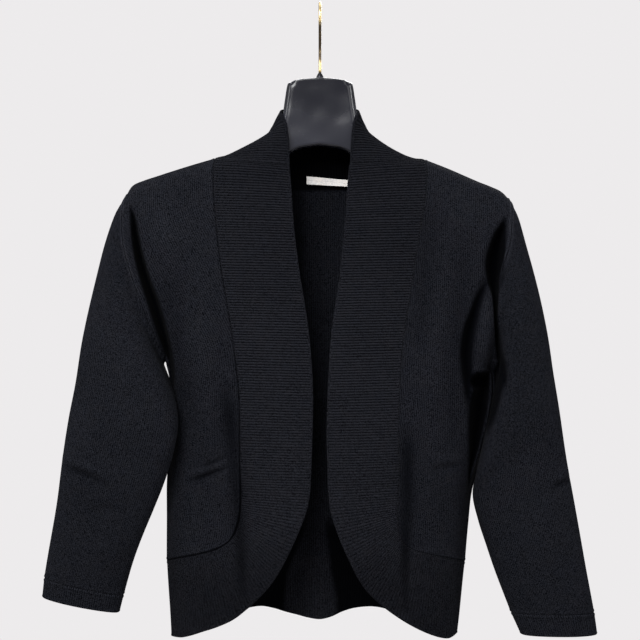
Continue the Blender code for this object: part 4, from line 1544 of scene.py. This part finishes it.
@dataclass
class Half:
    """The seams of one half of the garment and the grids between them."""

    side: Side
    seam: Array = field(init=False)
    middle: Array = field(init=False)
    edge: Array = field(init=False)
    shoulder: Array = field(init=False)
    armhole_front: Array = field(init=False)
    armhole_back: Array = field(init=False)
    flank: Array = field(init=False)

    def __post_init__(self) -> None:
        """Works out the seams that the pieces share."""
        sign, side = self.side.value, self.side
        self.shoulder = spaced(metres(SHOULDER[side], sign), np.linspace(0, 1, SHOULDER_CELLS + 1))
        front = refine(metres(ARMHOLE[side], sign), ARMHOLE_CELLS // (len(ARMHOLE[side]) - 1))
        self.armhole_front = front.copy()
        self.armhole_back = front * (1, -1, 1)
        self.armhole_back[-1] = front[-1]
        self.flank = refine(metres(FLANK[side], sign), SIDE_CELLS // (len(FLANK[side]) - 1))
        collar = [metres(row, sign) for row in COLLAR[side]]
        seam = metres([COLLAR[side][-1][0]] + [row[0] for row in BAND[side]], sign)
        edge = metres([COLLAR[side][-1][2]] + [row[1] for row in BAND[side]], sign)
        roll = np.array([[0, -row[2] * MM, 0] for row in BAND[side]])
        middle = np.vstack([collar[-1][1], (seam[1:] + edge[1:]) / 2 + roll])
        lines = []
        for column, line in enumerate((seam, middle, edge)):
            smooth = refine(line, BAND_STEPS)
            neck = np.array([row[column] for row in collar[:-1]])
            lines.append(np.vstack([neck, smooth]))
        self.seam, self.middle, self.edge = lines

    def band_grid(self, where: Array) -> Array:
        """The band's grid, with columns at these shares of its width."""
        return rolled(self.seam, self.middle, self.edge, where)

    def front_grid(self) -> Array:
        """The front panel between the band's seam, the shoulder, the armhole and the side.

        Returns:
            Its grid.
        """
        start = len(COLLAR[self.side]) - 1
        corner = start + BAND_STEPS * (CORNER_ROW + 1)
        outer = np.vstack([self.armhole_front, self.flank[1:]])
        return panel(self.seam[start : corner + 1], outer, self.shoulder, self.seam[corner:])

    def back_grid(self, middle: Array) -> Array:
        """Half of the back panel.

        Args:
            middle: The back's middle line, from the neck down.

        Returns:
            Its grid, from the middle line outwards.
        """
        top = np.vstack([self.seam[: len(COLLAR[self.side]) - 1], self.shoulder])
        outer = np.vstack([self.armhole_back, self.flank[1:]])
        return panel(middle, outer, top, self.hem_lines()[0])

    def hem_lines(self) -> list[Array]:
        """The two lines of half the back hem band.

        Returns:
            Its seam and its free edge, from the centre outwards.
        """
        where = np.linspace(0, 1, len(COLLAR[self.side]) + SHOULDER_CELLS)
        lines = []
        for column, last in enumerate((self.seam[-1], self.edge[-1])):
            places = metres([row[column] for row in HEM[self.side]], self.side.value)
            whole = np.vstack([places[1] * (-1, 1, 1), places])
            line = spaced(refine(whole, HEM_STEPS)[HEM_STEPS:], where)
            line[-1] = last
            lines.append(line)
        return lines

    def sleeve_rings(self) -> Array:
        """The rings of the sleeve, which leave the shape of the armhole over the first few.

        Returns:
            The rings, from the armhole to the open end of the cuff.
        """
        loop = np.vstack([self.armhole_front, self.armhole_back[-2:0:-1]])
        turn = np.linspace(0, 2 * math.pi, len(loop), endpoint=False)
        rows = SLEEVE[self.side]
        first = ring(loop[0], self.armhole_front[-1], rows[0][2] * MM, turn)
        rings = [loop]
        for count, (outer, inner, half_depth) in enumerate(rows, start=1):
            ends = metres((outer, inner), self.side.value)
            keep = max(0.0, 1 - count / CAP_RINGS)
            rings.append(ring(ends[0], ends[1], half_depth * MM, turn) + keep * (loop - first))
        return np.array(rings)


@dataclass
class Garment:
    """The cardigan: its panels, ribbed band, sleeves, cuffs and seam stitches."""

    jersey: KnitFinish = KnitFinish(
        "black_jersey", (0.0008, 0.001, 0.0018), (0.0184, 0.021, 0.0292), Texture.JERSEY,
        WALE_PITCH, WALE_COURSE,
    )
    # A darker copy of the jersey for the back panel: its deep colour holds extra painted shade
    inside: KnitFinish = KnitFinish(
        "black_jersey_back", (0.0006, 0.0008, 0.0015), (0.0184, 0.021, 0.0292), Texture.JERSEY,
        WALE_PITCH, WALE_COURSE,
    )
    ribs: KnitFinish = KnitFinish(
        "black_rib", (0.0006, 0.0007, 0.0012), (0.0204, 0.023, 0.0315), Texture.RIB,
        RIB_PITCH, RIB_COURSE,
    )
    thread: KnitFinish = KnitFinish(
        "linking_thread", (0.012, 0.013, 0.016), (0.034, 0.036, 0.042), Texture.TAPE,
        THREAD_PITCH, THREAD_PITCH,
    )
    # A darker copy of the thread, painted shade for the stitches of the left band's seam
    dark_thread: KnitFinish = KnitFinish(
        "linking_thread_dark", (0.001, 0.001, 0.0015), (0.004, 0.004, 0.005), Texture.TAPE,
        THREAD_PITCH, THREAD_PITCH,
    )
    stitches: Stitch = Stitch()
    halves: dict[Side, Half] = field(default_factory=lambda: {side: Half(side) for side in Side})
    cloths: dict[str, Cloth] = field(default_factory=dict)

    # How far the hem rolls, how high stitches lie as a share of the wall, and how far apart the points
    # of their line are at least
    HEM_ROLL = 2 * MM
    STITCH_DEPTH = 0.35
    STITCH_SPACING = 0.8 * MM

    def cut_pieces(self) -> None:
        """Works out every piece of cloth, still as a grid with its borders named."""
        left, right = self.halves[Side.LEFT], self.halves[Side.RIGHT]
        self.add(self._back(left, right))
        columns = np.linspace(0, 1, BAND_CELLS + 1)
        for side, half in self.halves.items():
            creases = FOLDS[side] + CREASES[side]
            self.add(self._band(half, columns, creases))
            self.add(self._front(half, creases + (POCKET if side is Side.RIGHT else ())))
            for cloth in self._sleeve(half, creases):
                self.add(cloth)
        self.add(self._hem_band(left, right, columns))

    def add(self, cloth: Cloth) -> None:
        """Keeps a piece of cloth by its name."""
        self.cloths[cloth.name] = cloth

    def _back(self, left: Half, right: Half) -> Cloth:
        """The back panel, from side seam to side seam.

        Args:
            left: The left half's seams.
            right: The right half's seams.

        Returns:
            The panel, with the folds that lie behind. Those of the left half are mirrored.
        """
        sides = [np.vstack([half.armhole_back, half.flank[1:]]) for half in (left, right)]
        middle = spaced(metres(BACK_MIDDLE), (shares(sides[0]) + shares(sides[1])) / 2)
        back = np.concatenate([left.back_grid(middle)[:, ::-1], right.back_grid(middle)[:, 1:]], axis=1)
        mirrored = tuple(
            Fold(tuple((-x, z, depth, width) for x, z, depth, width in fold.rows), True)
            for fold in CREASES[Side.LEFT] if fold.behind
        )
        return Cloth(
            "back_panel", "back", back, np.zeros_like(back) + (0, 1, 0),
            (Seam.LINKED, Seam.LINKED, Seam.RIDGE, Seam.RIDGE),
            (0.49, 0.50, 0.215), step=3.9 * MM, side=1.0,
            creases=mirrored + tuple(fold for fold in CREASES[Side.RIGHT] if fold.behind),
        )

    def _band(self, half: Half, columns: Array, creases: tuple[Fold, ...]) -> Cloth:
        """Half of the ribbed band that is collar, front edge and front hem.

        Args:
            half: The half's seams.
            columns: The shares of the band's width that are worked out.
            creases: The folds of that half.

        Returns:
            The band.
        """
        band, word = half.band_grid(columns), half.side.word
        outwards = np.zeros_like(band)
        outwards[..., 1] = np.sign(band[..., 1])
        return Cloth(
            f"band_{word}", f"shawl_{word}", band, outwards,
            (Seam.SMOOTH, Seam.SMOOTH, Seam.LINKED, Seam.FREE), (0.092, 0.85, 0.0750),
            step=4.4 * MM, side=half.side.value, creases=creases, rib=True, from_centre=True,
        )

    def _front(self, half: Half, creases: tuple[Fold, ...]) -> Cloth:
        """The front panel of one half.

        Args:
            half: The half's seams.
            creases: The folds of that half.

        Returns:
            The panel.
        """
        front, word = half.front_grid(), half.side.word
        return Cloth(
            f"front_{word}_panel", f"front_{word}", front, np.zeros_like(front) + (0, -1, 0),
            (Seam.LINKED, Seam.LINKED, Seam.LINKED, Seam.RIDGE), (0.12, 0.50, 0.053),
            step=2.0 * MM, side=half.side.value, creases=creases,
        )

    def _sleeve(self, half: Half, creases: tuple[Fold, ...]) -> list[Cloth]:
        """The sleeve of one half and the cuff at its end.

        Args:
            half: The half's seams.
            creases: The folds of that half.

        Returns:
            The sleeve and the cuff.
        """
        rings, word, sign = half.sleeve_rings(), half.side.word, half.side.value
        away = rings - rings.mean(axis=1, keepdims=True)
        sleeve = Cloth(
            f"sleeve_{word}_tube", f"sleeve_{word}", rings[:-1], away[:-1],
            (Seam.RIDGE, Seam.LINKED, Seam.SMOOTH, Seam.SMOOTH), (0.30, 0.49, 0.113),
            closed=True, side=sign, creases=creases,
        )
        cuff = Cloth(
            f"cuff_{word}_edge", f"cuff_{word}", rings[-2:], away[-2:],
            (Seam.LINKED, Seam.FREE, Seam.SMOOTH, Seam.SMOOTH), (0.215, 0.028, 0.0058),
            closed=True, side=sign,
        )
        return [sleeve, cuff]

    def _hem_band(self, left: Half, right: Half, columns: Array) -> Cloth:
        """The ribbed band along the back hem, from side seam to side seam.

        Args:
            left: The left half's seams.
            right: The right half's seams.
            columns: The shares of the band's width that are worked out.

        Returns:
            The band.
        """
        seam, edge = (
            np.vstack([one[::-1], other[1:]]) for one, other in zip(left.hem_lines(), right.hem_lines())
        )
        middle = (seam + edge) / 2 + np.array([0, self.HEM_ROLL, 0])
        grid = rolled(seam, middle, edge, columns)
        grid[0], grid[-1] = left.band_grid(columns)[-1], right.band_grid(columns)[-1]
        return Cloth(
            "hem_back_band", "hem_back", grid, np.zeros_like(grid) + (0, 1, 0),
            (Seam.SMOOTH, Seam.SMOOTH, Seam.LINKED, Seam.FREE), (0.085, 0.40, 0.034),
            step=4.4 * MM, rib=True,
        )

    def sew(self) -> None:
        jersey, inside, ribs = self.jersey.material(), self.inside.material(), self.ribs.material()
        tree = RibTree()
        for cloth in self.cloths.values():
            made = cloth.build()
            if cloth.rib:
                tree.raise_on(made, ribs)
            else:
                made.data.materials.append(inside if cloth.node == "back" else jersey)
            hand_over(made, "rib_knit" if cloth.rib else "plain_knit", cloth.node)
            across = np.cross(np.gradient(cloth.fine, axis=0), np.gradient(cloth.fine, axis=1))
            log.info("%s: middle surface %.4f m2", cloth.name, np.linalg.norm(across, axis=2).sum())

    def stitch(self) -> None:
        """Sets the stitches that show along the seams of the band."""
        tree = StitchTree()
        # The left seam's stitches take the painted-shade copy of the thread
        finishes = {Side.LEFT: self.dark_thread.material(), Side.RIGHT: self.thread.material()}
        for side, finish in finishes.items():
            front = self.cloths[f"front_{side.word}_panel"]
            face = front.fine + front.normals * WALL * self.STITCH_DEPTH
            path = np.vstack([face[:, 0], face[-1][1:]])
            out = np.vstack([front.normals[:, 0], front.normals[-1][1:]])
            keep = [0]
            for i in range(1, len(path)):
                if np.linalg.norm(path[i] - path[keep[-1]]) > self.STITCH_SPACING:
                    keep.append(i)
            name = f"band_seam_stitches_{side.word}"
            hand_over(tree.along(name, path[keep], out[keep], finish, self.stitches), "plain_knit")


@dataclass
class NeckLabel:
    """The small woven label inside the back neck, bare; the stitches at its two ends are not built."""

    left: float = -17.0
    right: float = 35.0
    head: float = -211.7
    foot: float = -221.9
    depth: float = 27.2
    droop: float = 5.0
    thickness: float = 0.6
    cells: tuple[int, int] = (40, 12)
    finish: KnitFinish = KnitFinish(
        "label_tape", (0.62, 0.62, 0.63), (0.88, 0.88, 0.88), Texture.TAPE, 0.9 * MM, 0.7 * MM,
        relief=0.15 * MM, roughness=0.6, gloss=0.3,
    )

    # What its foot keeps less of the droop, the height and number of its waves, the curl of its foot,
    # the curve of the neck that it follows, and the height and angle of its slow bend
    EVENED = 0.4
    WAVE_HEIGHT = 0.9
    WAVES = 3.1
    CURL = 0.8
    NECK_CURVE = 0.0021
    BEND = 0.4
    BEND_ANGLE = 6

    def grid(self) -> Array:
        """The label's middle surface: it droops to the right, waves and curls off the cloth.

        Returns:
            Its places in metres, from left to right and from its head down.
        """
        across = np.linspace(0, 1, self.cells[0] + 1)[:, None]
        down = np.linspace(0, 1, self.cells[1] + 1)[None, :]
        x = self.left + (self.right - self.left) * across + 0 * down
        z = self.head + (self.foot - self.head) * down - self.droop * across * (1 - self.EVENED * down)
        waves = self.WAVE_HEIGHT * np.sin(self.WAVES * across * math.pi) * down
        bend = self.BEND * np.sin(self.BEND_ANGLE * across)
        y = self.depth - self.NECK_CURVE * x**2 - (waves + self.CURL * down**2) - bend
        return np.stack([x, y, z], axis=2) * MM

    def build(self) -> None:
        """Builds and dresses the label."""
        grid = self.grid()
        cloth = Cloth(
            "neck_label_tape", "neck_label", grid, np.zeros_like(grid) + (0, -1, 0),
            (Seam.SMOOTH,) * 4, (0.052, 0.013, 0.00066), step=1.5 * MM,
        )
        cloth.loft()
        off = cloth.normals * (self.thickness * MM / 2)
        points = np.concatenate([(cloth.fine + off).reshape(-1, 3), (cloth.fine - off).reshape(-1, 3)])
        maps = np.stack([cloth.fine[..., 0].ravel(), cloth.fine[..., 2].ravel()], axis=1)
        made = add_mesh(cloth.name, points, shell_faces(*cloth.fine.shape[:2]), np.tile(maps, (2, 1)))
        face_outwards(made)
        made.data.materials.append(self.finish.material())
        hand_over(made, "label_weave", cloth.node)


@dataclass
class Hanger:
    """The wide-necked plastic hanger, its ferrule and its wire hook."""

    shoulders: dict[Side, Array]
    section_points: int = 80
    wire: float = 3.6
    loop: float = 20.0
    ferrule_points: int = 32
    wire_points: int = 16
    plastic: PlasticFinish = PlasticFinish()
    brass: MetalFinish = MetalFinish(
        "hook_brass_plate", (0.78, 0.60, 0.30), (0.10, 0.075, 0.05), 0.22, -0.030, -0.068
    )
    dark: MetalFinish = MetalFinish("ferrule_dark", (0.10, 0.10, 0.11), (0.03, 0.03, 0.035), 0.3, 1.0, -1.0)

    def rows(self, side: Side) -> Array:
        """The sections of one arm, from the middle outwards.

        Args:
            side: The arm's side.

        Returns:
            Distance from the middle, top, foot and half depth of each, in metres.
        """
        rows = [np.array(row, float) * MM for row in HANGER]
        shoulder = self.shoulders[side]
        order = np.argsort(np.abs(shoulder[:, 0]))
        for x in ARM_XS:
            top = np.interp(x * MM, np.abs(shoulder[order, 0]), shoulder[order, 2]) - ARM_BELOW * MM
            rows.append(np.array([x * MM, top, top - ARM_DROP * MM, ARM_HALF_DEPTH * MM]))
        return read_at(np.array(rows), self.section_places(len(rows)))

    def section_places(self, count: int) -> Array:
        """Where the arm's sections are read: closely at the neck, where the outline turns."""
        arm = np.linspace(NECK_END, count - 1, ARM_READS)
        return np.concatenate([np.linspace(0, NECK_END, NECK_READS), arm[1:]])

    def outline(self, rows: Array) -> tuple[Array, Array]:
        """The hanger's outline from the front, and the width of the bevel along it.

        Args:
            rows: The sections of one arm.

        Returns:
            The outline's points in x and z, and the width at each.
        """
        x, top, foot = rows[:, 0], rows[:, 1], rows[:, 2]
        line = np.concatenate([np.stack([x, top], axis=1), np.stack([x, foot], axis=1)[::-1]])
        above, below = np.interp(x / MM, *TOP_BEVEL), np.interp(x / MM, *FOOT_BEVEL)
        width = np.concatenate([above, below[::-1]]) * MM
        return np.concatenate([line * (-1, 1), line]), np.concatenate([width, width])

    def section(self, row: Array, sign: float, rim: tuple[Array, Array]) -> Array:
        """A section of the moulding, thinned towards its outline.

        Args:
            row: Its distance from the middle, top, foot and half depth.
            sign: The sign of its side.
            rim: The outline and the width of the bevel along it.

        Returns:
            The section as a loop of points.
        """
        x, top, foot, depth = row
        height = np.cos(np.linspace(0, math.pi, self.section_points // 2 + 1))
        z = (top + foot) / 2 + (top - foot) / 2 * height
        line, width = rim
        away = np.linalg.norm(np.stack([0 * z + x, z], axis=1)[:, None] - line[None], axis=2)
        share = np.clip((away / width[None]).min(axis=1), 0, 1)
        y = depth * np.sqrt(1 - (1 - share) ** 2)
        front = np.stack([0 * z + sign * x, -y, z], axis=1)
        behind = np.stack([0 * z + sign * x, y, z], axis=1)[-2:0:-1]
        return np.concatenate([front, behind])

    def build(self) -> None:
        """Builds the moulding, the ferrule and the hook."""
        left, right = self.rows(Side.LEFT), self.rows(Side.RIGHT)
        sections = [self.section(row, -1, self.outline(left)) for row in left[::-1]]
        sections += [self.section(row, 1, self.outline(right)) for row in right[1:]]
        made = self.tube("hanger_moulding", np.array(sections), self.plastic.material())
        hand_over(made, "hanger_plastic", "hanger_body")
        self.build_ferrule()
        self.build_hook()

    def tube(self, name: str, rings: Array, finish: bpy.types.Material) -> bpy.types.Object:
        """A dressed tube through rings of points.

        Args:
            name: Its name.
            rings: Its rings, in metres.
            finish: Its material.

        Returns:
            Its object.
        """
        made = add_mesh(name, rings.reshape(-1, 3), tube_faces(*rings.shape[:2]))
        face_outwards(made)
        made.data.materials.append(finish)
        return made

    def build_ferrule(self) -> None:
        """The small dark dome at the hook's foot, turned from a profile."""
        angle = np.linspace(0, 2 * math.pi, self.ferrule_points, endpoint=False)
        rings = [np.stack([r * np.cos(angle), r * np.sin(angle), 0 * angle + z], axis=1) for r, z in FERRULE]
        made = self.tube("hook_ferrule", np.array(rings) * MM, self.dark.material())
        hand_over(made, "nut_metal", "hook_nut")

    def build_hook(self) -> None:
        """The wire: a stem, a bend to the front and a loop over the rail to the back, with a ball tip."""
        centre = self.wire / 2 - self.loop
        turned = [math.radians(angle) for angle in HOOK_ARC]
        arc = [(-self.loop * math.cos(angle), centre + self.loop * math.sin(angle)) for angle in turned]
        fine = refine(np.array([(0, y, z) for y, z in (*HOOK_STEM, *arc)], float) * MM, HOOK_STEPS)
        tangent = np.gradient(fine, axis=0)
        tangent /= np.linalg.norm(tangent, axis=1, keepdims=True)
        side = np.array([1.0, 0, 0])
        other = np.cross(tangent, side)
        angle = np.linspace(0, 2 * math.pi, self.wire_points, endpoint=False)
        spokes = np.cos(angle)[None, :, None] * side + np.sin(angle)[None, :, None] * other[:, None]
        rings = fine[:, None] + self.wire / 2 * MM * spokes
        caps = [
            fine[-1] + tangent[-1] * self.wire * MM * past + (rings[-1] - fine[-1]) * share
            for past, share in HOOK_TIP
        ]
        made = self.tube("hook_wire", np.concatenate([rings, np.array(caps)]), self.brass.material())
        hand_over(made, "hook_brass", "hanger_hook")


@dataclass(frozen=True)
class Softbox:
    """A rectangular light, by its place, its size and its watts."""

    name: str
    place: Row
    size: tuple[float, float]
    watts: float

    def build(self, target: Row) -> None:
        """Adds the light.

        Args:
            target: The place that it is turned towards.
        """
        lamp = bpy.data.lights.new(self.name, "AREA")
        lamp.shape = "RECTANGLE"
        lamp.size, lamp.size_y = self.size
        lamp.energy = self.watts
        made = bpy.data.objects.new(self.name, lamp)
        made.location = self.place
        aim = Vector(target) - Vector(self.place)
        made.rotation_euler = aim.to_track_quat("-Z", "Y").to_euler()
        bpy.context.scene.collection.objects.link(made)


# The studio's lights, in metres and watts
LIGHTS = (
    Softbox("key_softbox", (-0.75, -1.7, 0.95), (1.5, 1.0), 57),
    Softbox("fill_softbox", (1.5, -1.9, 0.5), (1.3, 1.6), 9),
    Softbox("left_strip", (-1.6, -0.35, 0.1), (0.3, 1.2), 7),
    Softbox("right_strip", (1.6, -0.35, 0.2), (0.3, 1.2), 9),
    Softbox("top_softbox", (0, 0.3, 1.5), (1.6, 1.2), 12),
    Softbox("back_softbox", (0.5, 2.4, 0.9), (1.8, 1.4), 62),
)


@dataclass
class Studio:
    """The floor, the lights and the camera, in metres."""

    distance: float = 1.70
    height: float = -0.394
    span: float = 0.80
    sensor: float = 36
    reach: float = 50
    floor: float = -1.75
    floor_radius: float = 1.35
    floor_points: int = 96
    backdrop: Colour = (0.847, 0.831, 0.839)
    surround_light: float = 0.4

    def build(self) -> None:
        """Builds the studio."""
        scene = bpy.context.scene
        scene.view_settings.view_transform = "Standard"
        camera = bpy.data.cameras.new("camera")
        camera.sensor_width = self.sensor
        camera.lens = self.sensor * self.distance / self.span
        camera.clip_end = self.reach
        made = bpy.data.objects.new("camera", camera)
        made.location = (0, -self.distance, self.height)
        made.rotation_euler = (math.pi / 2, 0, 0)
        scene.collection.objects.link(made)
        scene.camera = made
        self.lay_floor()
        for light in LIGHTS:
            light.build((0, 0, self.height))
        self.light_world()

    def lay_floor(self) -> None:
        """A round pale floor, well below the hem."""
        angle = np.linspace(0, 2 * math.pi, self.floor_points, endpoint=False)
        across, along = self.floor_radius * np.cos(angle), self.floor_radius * np.sin(angle)
        points = np.stack([across, along, 0 * angle + self.floor], axis=1)
        made = add_mesh("floor", points, [list(range(self.floor_points))])
        made.data.materials.append(PaleFinish().material())

    def light_world(self) -> None:
        """An even pale surround, seen at full strength and lighting at less."""
        world = bpy.data.worlds.new("surround")
        world.use_nodes = True
        bpy.context.scene.world = world
        graph = Graph(world.node_tree)
        background = world.node_tree.nodes["Background"]
        background.inputs["Color"].default_value = (*self.backdrop, 1)
        seen = graph.value(graph.node("ShaderNodeLightPath").outputs["Is Camera Ray"])
        graph.feed(background.inputs["Strength"], seen * (1 - self.surround_light) + self.surround_light)


def main() -> None:
    """Builds the cardigan, its hanger and the studio."""
    logging.basicConfig(level=logging.INFO, format="%(name)s: %(message)s")
    Studio().build()
    garment = Garment()
    hanger = Hanger({side: half.shoulder for side, half in garment.halves.items()})
    hanger.build()
    garment.cut_pieces()
    garment.sew()
    garment.stitch()
    NeckLabel().build()


if __name__ == "__main__":
    main()
